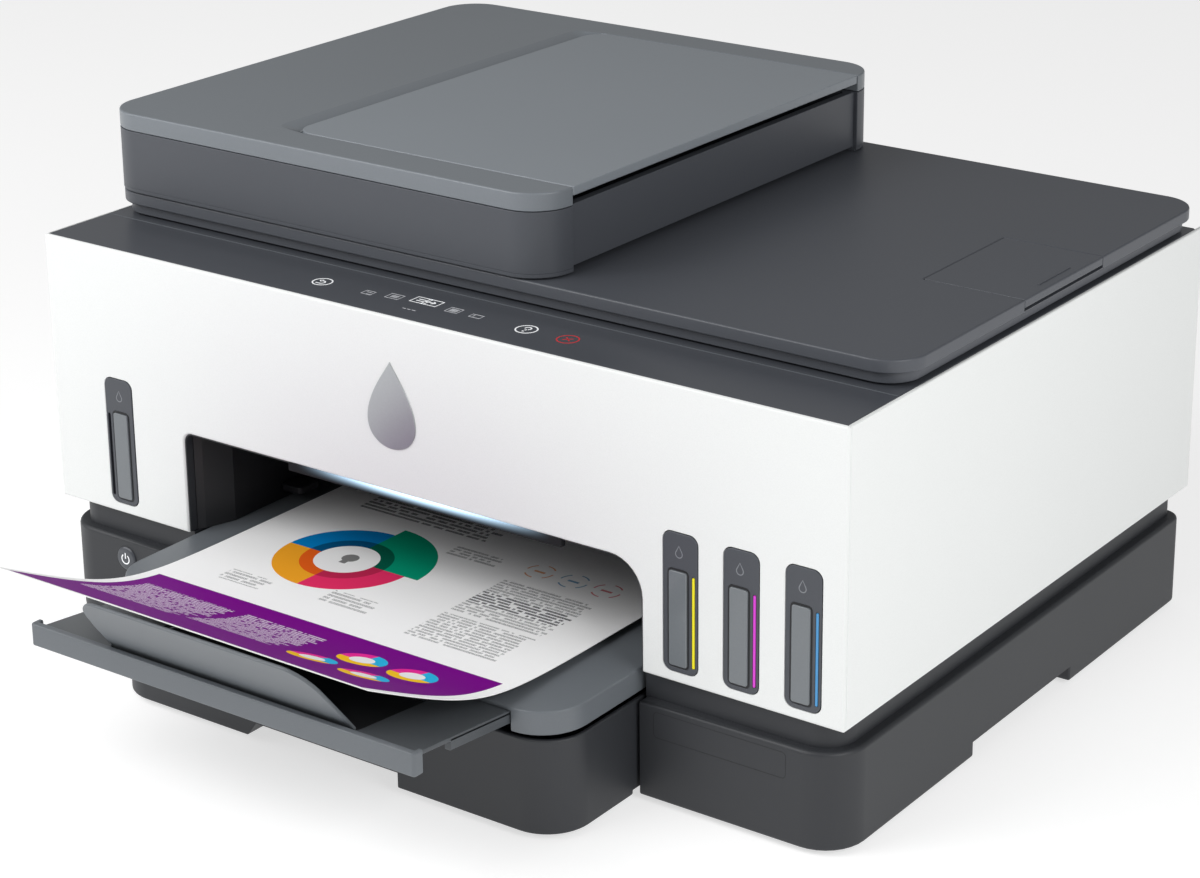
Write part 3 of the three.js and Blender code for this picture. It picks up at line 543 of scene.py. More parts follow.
def page_print(paper, band):
    """The page's print in its own UV map, in millimetres: a band, a ring chart, small rings and lines
    that stand for text. Discs are distances from a centre, and lines are square waves broken by noise."""
    _, tree, shader = blank("printed_paper")
    uv = node(tree, "ShaderNodeSeparateXYZ", {0: node(tree, "ShaderNodeUVMap", uv_map="UVMap").outputs[0]})
    x = Term(tree, uv.outputs[0]) * PAGE["width"]
    y = Term(tree, uv.outputs[1]) * PAGE["length"]
    place = node(tree, "ShaderNodeCombineXYZ", {0: x.socket, 1: y.socket}).outputs[0]
    fibre = node(tree, "ShaderNodeTexNoise", {"Vector": place}, Scale=1.6, Detail=6.0)
    tone = node(tree, "ShaderNodeVectorMath", operation="SCALE")
    tone.inputs[0].default_value = paper
    tree.links.new((Term(tree, fibre.outputs[0]) * 0.06 + 0.97).socket, tone.inputs["Scale"])
    result = tone.outputs[0]

    def box(x0, x1, y0, y1):
        return x.within(x0, x1) * y.within(y0, y1)

    def disc(cx, cy, radius):
        dx, dy = x - cx, y - cy
        return (dx * dx + dy * dy).math("SQRT") < radius

    def lay(colour, mask):
        nonlocal result
        result = layered(tree, result, colour, mask)

    def lines(x0, x1, y0, y1, pitch, colour, weight=0.5, ragged=0.25):
        """Rows of text at a pitch, with gaps for words and letters and a ragged end."""
        row = (y / pitch).math("FLOOR")
        at_row = node(tree, "ShaderNodeCombineXYZ", {0: row.socket}).outputs[0]
        seed = node(tree, "ShaderNodeTexWhiteNoise", {"Vector": at_row})
        wander = Term(tree, seed.outputs[0])
        column = (x / (pitch * 0.55) + wander * 7.0).math("FLOOR")
        at_word = node(tree, "ShaderNodeCombineXYZ", {0: column.socket, 1: row.socket}).outputs[0]
        word = node(tree, "ShaderNodeTexWhiteNoise", {"Vector": at_word})
        finer = {0: (x * 2.6).socket, 1: (y * 2.2).socket}
        at_letter = node(tree, "ShaderNodeCombineXYZ", finer).outputs[0]
        letter = node(tree, "ShaderNodeTexNoise", {"Vector": at_letter}, Scale=1.0, Detail=1.0)
        ink = ((y / pitch).math("FRACT") < 0.62) * (Term(tree, word.outputs[0]) > 0.14)
        ink = ink * (Term(tree, letter.outputs[0]) > 0.52 - weight * 0.14)
        end = wander * (x0 - x1) * ragged + x1
        mask = ink * box(x0, x1, y0, y1) * x.math("LESS_THAN", end)
        lay(colour, mask * (0.45 + weight * 0.5))

    grey = (0.09, 0.09, 0.1)
    lay(tuple(band), box(6, 204, 198.6, 293.5))
    for x0, x1, y0, y1 in ((13, 70, 213, 258), (73, 122, 212, 253)):
        lines(x0, x1, y0, y1, 2.1, (0.72, 0.62, 0.74), 0.9, 0.12)
    cx, cy = 61.5, 133.5
    left, rear = x < cx, y < cy
    right, front = x > cx, y > cy
    quarters = (
        (left * rear, (0.0, 0.2, 0.52), (0.0, 0.08, 0.2), 34.5),
        (right * front, (0.78, 0.03, 0.13), (0.5, 0.02, 0.08), 34.5),
        (left * front, (0.86, 0.36, 0.02), (0.75, 0.11, 0.01), 34.5),
        (right * rear, (0.0, 0.3, 0.17), (0.0, 0.1, 0.06), 42.0),
    )
    for quarter, outer, inner, radius in quarters:
        lay(outer, quarter * disc(cx, cy, radius))
        lay(inner, quarter * disc(cx, cy, 22))
    lay((0.88, 0.88, 0.88), disc(cx, cy, 15.5))
    stem = box(cx - 1.3, cx + 2.3, cy - 2, cy + 4.5)
    lay((0.2, 0.2, 0.2), disc(cx + 0.5, cy - 2, 4.2).math("MAXIMUM", stem))
    for cx, cy in ((147.5, 223), (174.5, 222.5), (142, 249.5), (171.5, 251.5)):
        ring = disc(cx, cy, 11)
        lay((0.8, 0.02, 0.3), ring * (x < cx))
        lay((0.02, 0.45, 0.75), ring * (x > cx))
        lay((0.9, 0.55, 0.01), ring * (y > cy + 1.5))
        lay((0.85, 0.85, 0.85), disc(cx, cy, 5.6))
    for cx, colour in ((143.2, (0.7, 0.25, 0.03)), (162.4, (0.03, 0.25, 0.45)), (181.0, (0.6, 0.04, 0.07))):
        dx, dy = x - cx, y - 93.5
        beads = ((dy.math("ARCTAN2", dx) * 4.0).math("SINE") > -0.2) * disc(cx, 93.5, 7.4)
        lay(colour, beads * (disc(cx, 93.5, 6.6) * -1.0 + 1.0) * 0.8)
        lay(colour, box(cx - 3, cx + 3, 93, 94.6) * 0.8)
    lines(27, 53, 172, 184, 3.0, grey, 0.45)
    lines(81, 109, 163, 177, 3.0, grey, 0.45)
    lines(94, 124, 91, 102, 2.7, grey, 0.5)
    lines(24, 105, 64, 81, 3.3, grey, 0.8, 0.1)
    lines(135.5, 187, 109, 124, 2.5, grey, 0.5, 0.08)
    lines(135.5, 187, 124, 138, 2.5, grey, 1.0, 0.08)
    lines(135.5, 187, 138, 150, 2.5, grey, 0.5, 0.08)
    lines(135.5, 187, 153, 182, 2.5, grey, 0.5, 0.08)
    tree.links.new(result, shader.inputs["Base Color"])
    shader.inputs["Roughness"].default_value = 0.62
    shader.inputs["Specular IOR Level"].default_value = 0.08
    raised = node(tree, "ShaderNodeBump", {"Height": fibre.outputs[0]}, Strength=0.15, Distance=0.0001)
    tree.links.new(raised.outputs[0], shader.inputs["Normal"])


# ---------------------------------------------------------------- operators


class PRINTER_OT_finishes(bpy.types.Operator):
    """Makes every finish that the pieces use"""

    bl_idname = "printer.finishes"
    bl_label = "Finishes"
    bl_options = {"REGISTER", "UNDO"}

    def execute(self, context):
        colours = context.scene.printer_colours
        sizes = context.scene.printer_sizes
        skin_group()
        dust_group()
        grain = sizes.grain
        plastic("white_shell", colours.white, 0.42, grain * 0.6, 0.08, 0.015, IOR=1.5)
        plastic("charcoal", colours.charcoal, 0.5, grain, 0.35, 0.08, 0.01)
        plastic("graphite", colours.graphite, 0.46, grain, 0.35, 0.07, 0.012)
        strip = tuple(v * 2.75 for v in colours.charcoal)
        plastic("control_strip", strip, 0.3, grain * 0.6, 0.08, 0.04, 0.008)
        plastic("slate", colours.slate, 0.42, grain, 0.25, 0.06, 0.01)
        plastic("black_plastic", colours.black, 0.5, grain, 0.4, 0.1)
        plastic("lid", tuple(v * 1.18 for v in colours.graphite), 0.42, grain, 0.35, 0.07, 0.01)
        plastic("housing", tuple(v * 1.12 for v in colours.graphite), 0.46, grain, 0.35, 0.07, 0.012)
        # The leaf is a lighter copy of the slate than the cover. The slate is the plastic's own colour, and
        # the extra lightness over the cover is painted light for the brighter near side of the feeder's top.
        plastic("leaf", tuple(v * 1.8 for v in colours.slate), 0.36, grain, 0.25, 0.06, 0.01)
        plastic("cover", tuple(v * 1.34 for v in colours.slate), 0.36, grain, 0.25, 0.06, 0.01)
        # The slide plate is the slate darkened to 0.55. The slate is the plastic's own colour, and the
        # darkening is painted shade for the shadow of the page and the mouth over the extension.
        plastic("slide_plate", tuple(v * 0.55 for v in colours.slate), 0.4, grain, 0.25, 0.06)
        plastic("window", colours.window, 0.22, grain, 0.05, 0.05, Coat_Weight=0.3)
        plastic("rubber", colours.rubber, 0.85, grain * 1.4, 0.6, 0.12)
        plastic("foam", (0.85, 0.85, 0.83), 0.9, grain * 2, 0.5, 0.05)
        brushed_steel(tuple(colours.steel))
        circuit_board()
        page_print(tuple(colours.paper), tuple(colours.band))
        glowing("light_strip", (0.55, 0.78, 1.0), 1.9, float(HOME[0]) + 228 * MM, 0.074,
                float(HOME[2]) + 105.2 * MM, 0.0036)
        paint("icon_white", (0.8, 0.82, 0.84), Emission_Strength=0.3)
        paint("icon_dim", (0.5, 0.51, 0.54), Emission_Strength=0.1)
        paint("icon_faint", (0.22, 0.23, 0.25))
        paint("icon_red", (0.7, 0.03, 0.04))
        paint("seam", tuple(v * 0.5 for v in colours.charcoal), 0.6)
        paint("badge", tuple(colours.badge), 0.3, Metallic=0.75)
        for ink in INKS[1:]:
            paint(f"mark_{ink}", tuple(getattr(colours, ink)), 0.35)
        tints = {"black": (0.02, 0.02, 0.022), "yellow": (0.5, 0.38, 0.02), "magenta": (0.35, 0.01, 0.12),
                 "cyan": (0.01, 0.16, 0.35)}
        for ink, tint in tints.items():
            plastic(f"tank_{ink}", tint, 0.25, grain, 0.06, 0.2, Coat_Weight=0.5)
        _, tree, shader = blank("scan_glass")
        shader.inputs["Base Color"].default_value = (0.8, 0.9, 0.88, 1)
        shader.inputs["Roughness"].default_value = 0.03
        shader.inputs["Transmission Weight"].default_value = 1.0
        place = tree.nodes.new("ShaderNodeTexCoord").outputs["Object"]
        smear = node(tree, "ShaderNodeTexNoise", {"Vector": place}, Scale=20.0, Detail=4.0)
        tree.links.new((Term(tree, smear.outputs[0]) * 0.08).socket, shader.inputs["Roughness"])
        return {"FINISHED"}


def mouth_corners(top):
    """The front's outline up to a height, with the paper mouth cut out of its lower edge."""
    low, high = SHELL_BOTTOM, MOUTH_TOP
    mouth = [(MOUTH_LEFT, low), (MOUTH_LEFT, high), (MOUTH_RIGHT, high), (MOUTH_RIGHT, low)]
    return [(0, low), *mouth, (WIDTH, low), (WIDTH, top), (0, top)]


class PRINTER_OT_shell(bpy.types.Operator):
    """Makes the white front and sides, with the paper mouth and the openings for the ink gauges"""

    bl_idname = "printer.shell"
    bl_label = "White shell"
    bl_options = {"REGISTER", "UNDO"}

    def execute(self, context):
        radii = [0.9, 0.4, 5, 17, 0.4, 0.9, 0.9, 0.9]
        slots = [rect(*sorted((x - side * 8.5, x + side * 9.5)), 62.9, 127.2, 4.4, 0.35) for x,
                 side in GAUGES]
        skin = moulded("y", [loop_of(mouth_corners(TOP), radii), *slots], 0, 1.3, (1.25, 0))
        under = [(min(max(u, 1.3), WIDTH - 1.3), v) for u, v in mouth_corners(187)]
        backing = moulded("y", [loop_of(under, [0, 0.4, 5, 17, 0.4, 0, 0, 0]), *slots], 1.3, 5, (0, 0.4))
        make("shell_front", [skin, backing], "white_shell", "printer_base", ["front_panel"])
        for side, low, high, name in ((0, 0, 1.3, "left"), (1, WIDTH - 1.3, WIDTH, "right")):
            fillets = (0.9, 0) if side == 0 else (0, 0.9)
            outer = moulded("x", [rect(1.9, DEPTH, SHELL_BOTTOM, TOP, [0, 0.9, 0.9, 0])], low, high, fillets)
            inner = (1.3, 4.0) if side == 0 else (WIDTH - 4.0, WIDTH - 1.3)
            notched = [(5, SHELL_BOTTOM + 0.6), (DEPTH - 0.6, SHELL_BOTTOM + 0.6), (DEPTH - 0.6, 176),
                       (304, 176),
                       (304, 187), (5, 187)]
            ribbed = moulded("x", [loop_of(notched)], *inner, (0, 0))
            make(f"shell_side_{name}", [outer, ribbed], "white_shell", "printer_base",
                 [f"side_panel_{name}"])
        foot, gap, wall = SHELL_BOTTOM + 0.5, 0.02, 0.62
        left, right, top = MOUTH_LEFT, MOUTH_RIGHT, MOUTH_TOP
        outer = [(left + gap, foot), (left + gap, top - gap), (right - gap, top - gap), (right - gap, foot)]
        inner = [(right - wall, foot), (right - wall, top - wall), (left + wall, top - wall),
                 (left + wall, foot)]
        trim_radii = [0, 5, 17, 0, 0, 16.4, 4.4, 0]
        trim = moulded("y", [loop_of([*outer, *inner], trim_radii)], 1.0, 5.4, (0, 0), steps=12)
        make("mouth_trim", [trim], "charcoal", "printer_base")
        bar = moulded("y", [rect(150, 306, 105.2, 109.3, 0.4)], -0.1, 2.6, (0.2, 0))
        arm = moulded("z", [rect(92, 105, 56, 70, 2)], 63, 66.5, (0.6, 0.6))
        make("mouth_guide_arm", [arm], "black_plastic", "printer_base")
        make("mouth_light", [bar], "light_strip", "printer_base", ["status_light"])
        sweep = np.linspace(0, math.pi, 48)
        half = np.stack([18.5 * np.sin(sweep) * np.sin(sweep / 2) ** 1.2, 150.3 + 20.5 * np.cos(sweep)], -1)
        outline = np.concatenate([half, (half * [-1, 1])[-2:0:-1]]) + [212.9, 0]
        badge = moulded("y", [loop_of(outline, 0)], -0.5, 0.4, (0.3, 0), steps=1)
        make("front_badge", [badge], "badge", "printer_base")
        return {"FINISHED"}


BASE_FRONT, BASE_REAR = -1.5, 318
BAY_LEFT, BAY_RIGHT, BAY_BACK = 84.5, 347.5, 277


def bay_notch(back, front=BASE_FRONT):
    """The cassette bay's corners, from the front left to the front right of the opening."""
    return [(BAY_LEFT, front), (BAY_LEFT, back), (BAY_RIGHT, back), (BAY_RIGHT, front)]


def base_corners(back):
    """The base's plan around a bay of a depth, with a handhold in each side."""
    low, high, depth = 111.0, 202.0, 20.0
    left = [(0, BASE_REAR), (0, high), (depth, high), (depth, low), (0, low), (0, BASE_FRONT)]
    right = [(WIDTH - u, v) for u, v in reversed(left)]
    notch = bay_notch(back)
    return [*notch[2:], *right, *left, *notch[:2]]


class PRINTER_OT_base(bpy.types.Operator):
    """Makes the lower housing, its neck, its feet and the power button"""

    bl_idname = "printer.base"
    bl_label = "Base"
    bl_options = {"REGISTER", "UNDO"}

    def execute(self, context):
        radii = [0.3, 0.3, 20, 1, 1, 1, 1, 8, 8, 1, 1, 1, 1, 20, 0.3, 0.3]
        layers = []
        for low, high, back, fillets in ((0, 2.5, 12, (1.4, 0)), (2.5, 7.5, BAY_BACK, (0, 0))):
            layers.append(moulded("z", [loop_of(base_corners(back), radii)], low, high, fillets))
        notch = bay_notch(BAY_BACK)
        plain = [*notch[2:], (WIDTH, BASE_FRONT), (WIDTH, BASE_REAR), (0, BASE_REAR), (0, BASE_FRONT),
                 *notch[:2]]
        plain_radii = [0.3, 0.3, 20, 8, 8, 20, 0.3, 0.3]
        layers.append(moulded("z", [loop_of(plain, plain_radii)], 7.5, 45.5, (0, 2.0), steps=12))
        west, east, south, north = 5, WIDTH - 5, 3.5, 315
        notch = bay_notch(BAY_BACK, south)
        neck = [*notch[2:], (east, south), (east, north), (west, north), (west, south), *notch[:2]]
        neck_radii = [0.3, 0.3, 15, 5, 5, 15, 0.3, 0.3]
        layers.append(moulded("z", [loop_of(neck, neck_radii)], 43, 57.7, (0, 0.3), steps=12))
        make("base_housing", layers, "charcoal", "printer_base", ["base_tub"])
        profile = [(-2.5, 0), (-2.5, 6), (-2.3, 6.6), (-2.3, 7.6), (-2.5, 8.1), (-2.1, 8.8), (-0.3, 9),
                   (-0.3, 0)]
        for end, y in (("front", 30), ("rear", 285)):
            for side, x in (("left", 30), ("right", WIDTH - 30)):
                make(f"rubber_foot_{end}_{side}", [turned("z", (x, y), profile)], "rubber", "printer_base",
                     [f"foot_{end}_{side}"])
        cap_profile = [(-2.7, 0), (-2.7, 4.6), (-2.4, 5.5), (-1.8, 6), (0.9, 6), (0.9, 2.5), (5.5, 2.5),
                       (5.5, 0)]
        make("power_button_cap", [turned("y", (43, 35.2), cap_profile)], "control_strip", "power_button",
             ["power_button"])
        mark = ribbon("y", [arc(43, 35.2, 2.4, 125, 415, 30), [(43, 35.4), (43, 38.4)]], 0.6, -2.7, -0.04)
        make("power_button_mark", mark, "icon_white", "power_button")
        plate = corner_ring([(355, 30), (422, 30), (422, 42), (355, 42)], 2.0)
        outline = ribbon("y", [np.concatenate([plate, plate[:1]])], 0.35, -1.5, -0.03)
        make("front_plate_outline", outline, "seam", "printer_base")
        return {"FINISHED"}


class PRINTER_OT_ink_gauges(bpy.types.Operator):
    """Makes the four ink tanks, their gauges on the front and their caps"""

    bl_idname = "printer.ink_gauges"
    bl_label = "Ink gauges"
    bl_options = {"REGISTER", "UNDO"}

    def execute(self, context):
        collar = [(125, 0), (125, 7.6), (126.6, 7.6), (127, 6.5), (130.6, 6.5), (131, 6.1), (131, 4.4),
                  (127, 4.4),
                  (127, 0)]
        for ink, (x, side) in zip(INKS, GAUGES):
            middle, gap, body = x - side * 0.4, x + side * 7.3, "printer_base"
            bezel = moulded("y", [
                rect(*sorted((x - side * 8.2, x + side * 9.2)), 63.2, 126.9, 4.2),
                rect(middle - 5.4, middle + 5.4, 65.2, 110.7, 2.2, 0.3),
                rect(gap - 0.85, gap + 0.85, 66.6, 108.8, 0.8, 0.15),
            ], -0.3, 4.2, (0.35, 0))
            make(f"gauge_frame_{ink}", [bezel], "graphite", body, [f"ink_bezel_{ink}"])
            gasket = moulded("y", [rect(middle - 5.5, middle + 5.5, 65.3, 110.6, 2.2)], -0.12, 4, (0.1, 0))
            make(f"gauge_gasket_{ink}", [gasket], "black_plastic", body)
            window = moulded("y", [rect(middle - 4.5, middle + 4.5, 66.2, 109.7, 1.1)], -1.0, 7.2, (0.4, 0))
            half = 33 if ink == "black" else 13.5
            tank = moulded("z", [rect(x - half, x + half, 7, 112, 4)], 61, 126, (1.5, 1.5))
            neck = turned("z", (x, 32), collar)
            make(f"ink_tank_body_{ink}", [tank, neck], f"tank_{ink}", body, [f"ink_tank_{ink}"])
            make(f"gauge_window_{ink}", [window], "window", body)
            if ink != "black":
                strip = moulded("y", [rect(gap - 0.6, gap + 0.6, 66.8, 108.5, 0.59)], -0.38, 2, (0.1, 0))
                make(f"gauge_mark_{ink}", [strip], f"mark_{ink}", body)
            drop = [(x, 121.2), *arc(x, 117.6, 1.7, 30, -210, 20), (x, 121.2)]
            symbol = ribbon("y", [drop], 0.42, -0.3, -0.04)
            make(f"gauge_symbol_{ink}", symbol, "icon_faint", body)
            cap = moulded("z", [rect(x - 9, x + 9, 22, 44, 3)], 131.3, 136.8, (0.4, 1.2))
            grip = [moulded("z", [rect(x - 5, x + 5, y, y + 1, 0.4)], 136.7, 137.3, (0, 0.2))
                    for y in (25, 27.5, 30)]
            finish = "graphite" if ink == "black" else f"mark_{ink}"
            make(f"tank_lid_{ink}", [cap, *grip], finish, f"cap_{ink}",
                 [f"tank_cap_{ink}"])
        return {"FINISHED"}


class PRINTER_OT_cassette(bpy.types.Operator):
    """Makes the paper cassette and the guides inside it"""

    bl_idname = "printer.cassette"
    bl_label = "Paper cassette"
    bl_options = {"REGISTER", "UNDO"}

    def execute(self, context):
        left, right, front, back, wall = 86.3, 345.7, -57.0, 273.0, 2.6

        def plan(inner, notch_low=None, notch_high=None, depth=20.0, rear=back):
            """The pan's corners from the front left, with a notch from one x to another in its front."""
            w = wall if inner else 0
            edge, deep = front + w, front + depth
            corners = [(left + w, edge)]
            if notch_low is not None:
                corners += [(notch_low, edge), (notch_low, deep), (notch_high, deep), (notch_high, edge)]
            return corners + [(right - w, edge), (right - w, rear - w), (left + w, rear - w)]

        def radii(inner, notched):
            big = 21 - (wall if inner else 0)
            return [big, *([0.6] * 4 if notched else []), big, 2, 2]

        def slant(z):
            """The notch's left edge at a height: it leans to the right up to z 8."""
            return 176 - 6 * (8 - z) / 8

        parts = []
        skirt = np.array([plan(False, slant(0.5), 258, rear=-2.7), plan(False, slant(2.8), 258, rear=-2.7)])
        parts.append(moulded("z", [loop_of(skirt, radii(False, True))], 0.5, 2.8, (0.8, 0), steps=12))
        floor = np.array([plan(False, slant(2.8), 258), plan(False, slant(5.4), 258)])
        parts.append(moulded("z", [loop_of(floor, radii(False, True))], 2.8, 5.4, (0, 0), steps=12))
        lower = loop_of(np.array([plan(False, slant(5.4), 258), plan(False, 176, 258)]), radii(False, True))
        block = loop_of(plan(True, 172, 262, 24), radii(True, True))
        wall_outside = loop_of(plan(False), radii(False, False))
        wall_inside = loop_of(plan(True), radii(True, False))
        parts.append(moulded("z", [lower, block], 5.4, 8, (0, 0), steps=12))
        parts.append(moulded("z", [wall_outside, block], 8, 12, (0, 0), steps=12))
        parts.append(moulded("z", [wall_outside, wall_inside], 12, 44.5, (0, 0.9), steps=12))
        make("cassette_pan", parts, "charcoal", "cassette", ["paper_cassette"])
        floor_top = 5.7
        for name, sign, low in (("left", 1, 107.0), ("right", -1, 322.0)):
            fence = moulded("x", [rect(60, 150, floor_top, 35.7, [0.5, 0.5, 9, 9])], low, low + 3,
                            (0.6, 0.6))
            pad = (low, low + 26) if sign > 0 else (low - 23, low + 3)
            slider = moulded("z", [rect(*pad, 80, 110, 3)], floor_top, 7.7, (0, 0.5))
            make(f"side_fence_{name}", [fence, slider], "slate", f"guide_{name}",
                 [f"width_guide_{name}"])
        fence = moulded("y", [rect(186, 246, floor_top, 35.7, [0.5, 0.5, 9, 9])], -31, -28, (0.6, 0.6))
        slider = moulded("z", [rect(204, 228, -31, -7, 3)], floor_top, 7.7, (0, 0.5))
        make("end_fence", [fence, slider], "slate", "guide_end", ["length_guide"])
        return {"FINISHED"}


RAMP_PIVOT, RAMP_TILT = (-114.0, 62.0), -6.0


class PRINTER_OT_output_tray(bpy.types.Operator):
    """Makes the output tray, its pull-out extension and the hinged stop"""

    bl_idname = "printer.output_tray"
    bl_label = "Output tray"
    bl_options = {"REGISTER", "UNDO"}

    def execute(self, context):
        left, right, front = 87.0, 345.0, -58.0
        ramp = math.tan(math.radians(6))

        def under(y):
            """The plate's underside, just over the sloping extension."""
            return RAMP_PIVOT[1] - (y - RAMP_PIVOT[0]) * ramp + 0.3

        top = moulded("z", [rect(left, right, front, 206, [22, 22, 0.5, 0.5])], 56.4, 58, (0, 0.9), steps=12)
        parts = [top]
        for outline, radii in (
            ([(left, front), (109.9, front), (109.9, 58), (left, 58)], [22, 0.4, 0, 0]),
            ([(322.1, front), (right, front), (right, 58), (322.1, 58)], [0.4, 22, 0, 0]),
        ):
            parts.append(moulded("z", [loop_of(outline, radii)], 46.8, 56.4, (0.9, 0), steps=12))
        nose = front + 1
        flat = [(nose, 56.4), (nose, under(nose) - 0.05), (33.5, 46.8), (58, 46.8), (58, 55), (206, 55),
                (206, 56.4)]
        parts.append(moulded("x", [loop_of(flat)], 109.9, 322.1, (0, 0)))
        make("tray_plate", parts, "slate", "printer_base", ["output_tray"])

        pocket = rect(149, 289, -117, -70, 3, 0.4)
        plate = moulded("z", [rect(110.5, 321.5, -120.6, -10), pocket], 60, 62, (0.3, 0.3))
        rails = [moulded("z", [rect(x, x + 3, -96, -10)], 56, 61, (0.5, 0)) for x in (110.5, 318.5)]
        ribs = [moulded("z", [rect(x, x + 1.2, -64, -12)], 58.6, 60.2, (0.2, 0))
                for x in (150, 190, 230, 270)]
        tilted = [turn_over(part, RAMP_PIVOT, RAMP_TILT) for part in (plate, *rails)]
        # The plate and its rails take the darkened slate: painted shade.
        make("tray_slide_plate", tilted, "slide_plate", "extension")
        # A black pan under the pocket: painted shade, a dark liner for the shade in the pocket's recess. The
        # ribs under the plate share its black.
        pan = moulded("z", [rect(148.5, 289.5, -117.5, -69.5, 3)], 58.4, 59.4, (0.2, 0))
        shade_liner_and_ribs = [turn_over(part, RAMP_PIVOT, RAMP_TILT) for part in (pan, *ribs)]
        make("tray_slide_pocket", shade_liner_and_ribs, "black_plastic", "extension")
        lip_plan = [(107.5, -123), (324.5, -123), (324.5, -117.2), (322.2, -117.2), (322.2, -119.6),
                    (109.8, -119.6),
                    (109.8, -117.2), (107.5, -117.2)]
        lip = moulded("z", [loop_of(lip_plan, [1.6, 1.6, 0.8, 0.5, 0.3, 0.3, 0.5, 0.8])], 54, 64.6,
                      (0.8, 0.8))
        make("tray_slide_lip", [lip], "slate", "extension", ["tray_extension"])

        outline = [(-65, 0), (71, 0), (70, 20), (67, 42.4), (-61, 42.4), (-64, 20)]
        flap = moulded("y", [loop_of(outline, [1, 1, 20, 15, 15, 20])], -0.7, 1, (0.6, 0.7), steps=10)
        points, quads, tris = flap
        rise = points[:, 2] / 42.4
        points[:, 1] -= 1.2 * rise * (1 - rise)
        points += [MIDDLE, RAMP_PIVOT[0] - 0.5, 61]
        stop = turn_over((points, quads, tris), (RAMP_PIVOT[0] - 0.5, 61), 37)
        make("stop_flap", [stop], "slate", "paper_stop", ["paper_stop"])
        return {"FINISHED"}


class PRINTER_OT_page(bpy.types.Operator):
    """Makes the printed page that lies in the tray"""

    bl_idname = "printer.page"
    bl_label = "Printed page"
    bl_options = {"REGISTER", "UNDO"}

    def execute(self, context):
        """The page's height is a slight slope plus a curl, which is the leading slope times the soft ramp
        16 ln(1 + exp((-71 - y) / 16)). The second side lies a paper's thickness below, along the normal."""
        sizes = context.scene.printer_sizes
        rows, columns, thickness = 220, 36, 0.25
        y = np.linspace(PAGE["tail"], PAGE["front"], rows)
        z = PAGE["rest"] + 0.0081 * (PAGE["tail"] - y) + sizes.curl * 16 * np.log1p(np.exp((-71 - y) / 16))
        run = np.concatenate([[0], np.cumsum(np.hypot(np.diff(y), np.diff(z)))])
        normal = unit(np.stack([np.gradient(z, run), -np.gradient(y, run)], -1))
        x = np.linspace(0, PAGE["width"], columns)
        wave = 0.25 * np.sin(x / PAGE["width"] * 5.2)[None, :] * np.clip(run / 297 - 0.45, 0, 1)[:, None]
        top = np.stack(np.broadcast_arrays(PAGE["left"] + x[None, :], y[:, None], z[:, None] + wave + 0.3),
                       -1)
        under = top - np.concatenate([np.zeros((rows, 1)), normal], 1)[:, None, :] * thickness
        count = rows * columns
        upper = strips(rows, columns, 0, False)[:, ::-1]
        lower = strips(rows, columns, count, False)
        rim = np.concatenate([np.arange(columns), np.arange(1, rows) * columns + columns - 1,
                              np.arange(count - 2, count - columns - 1, -1),
                              np.arange(rows - 2, 0, -1) * columns])
        edge = np.stack([rim, np.roll(rim, -1), np.roll(rim, -1) + count, rim + count], -1)
        points = np.concatenate([top.reshape(-1, 3), under.reshape(-1, 3)])
        page = make("printed_page", [(points, np.concatenate([upper, lower, edge]), np.zeros((0, 3), int))],
                    "printed_paper", "sheet", ["printed_sheet"])
        u = np.broadcast_to(x[None, :] / PAGE["width"], (rows, columns))
        v = np.broadcast_to(run[:, None] / run[-1], (rows, columns))
        flat = np.stack([u, v], -1).reshape(-1, 2)
        flat = np.concatenate([flat, flat + [2, 0]])
        corners = np.empty(len(page.data.loops), int)
        page.data.loops.foreach_get("vertex_index", corners)
        layer = page.data.uv_layers.new(name="UVMap")
        layer.data.foreach_set("uv", flat[corners].ravel())
        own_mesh(page)
        return {"FINISHED"}


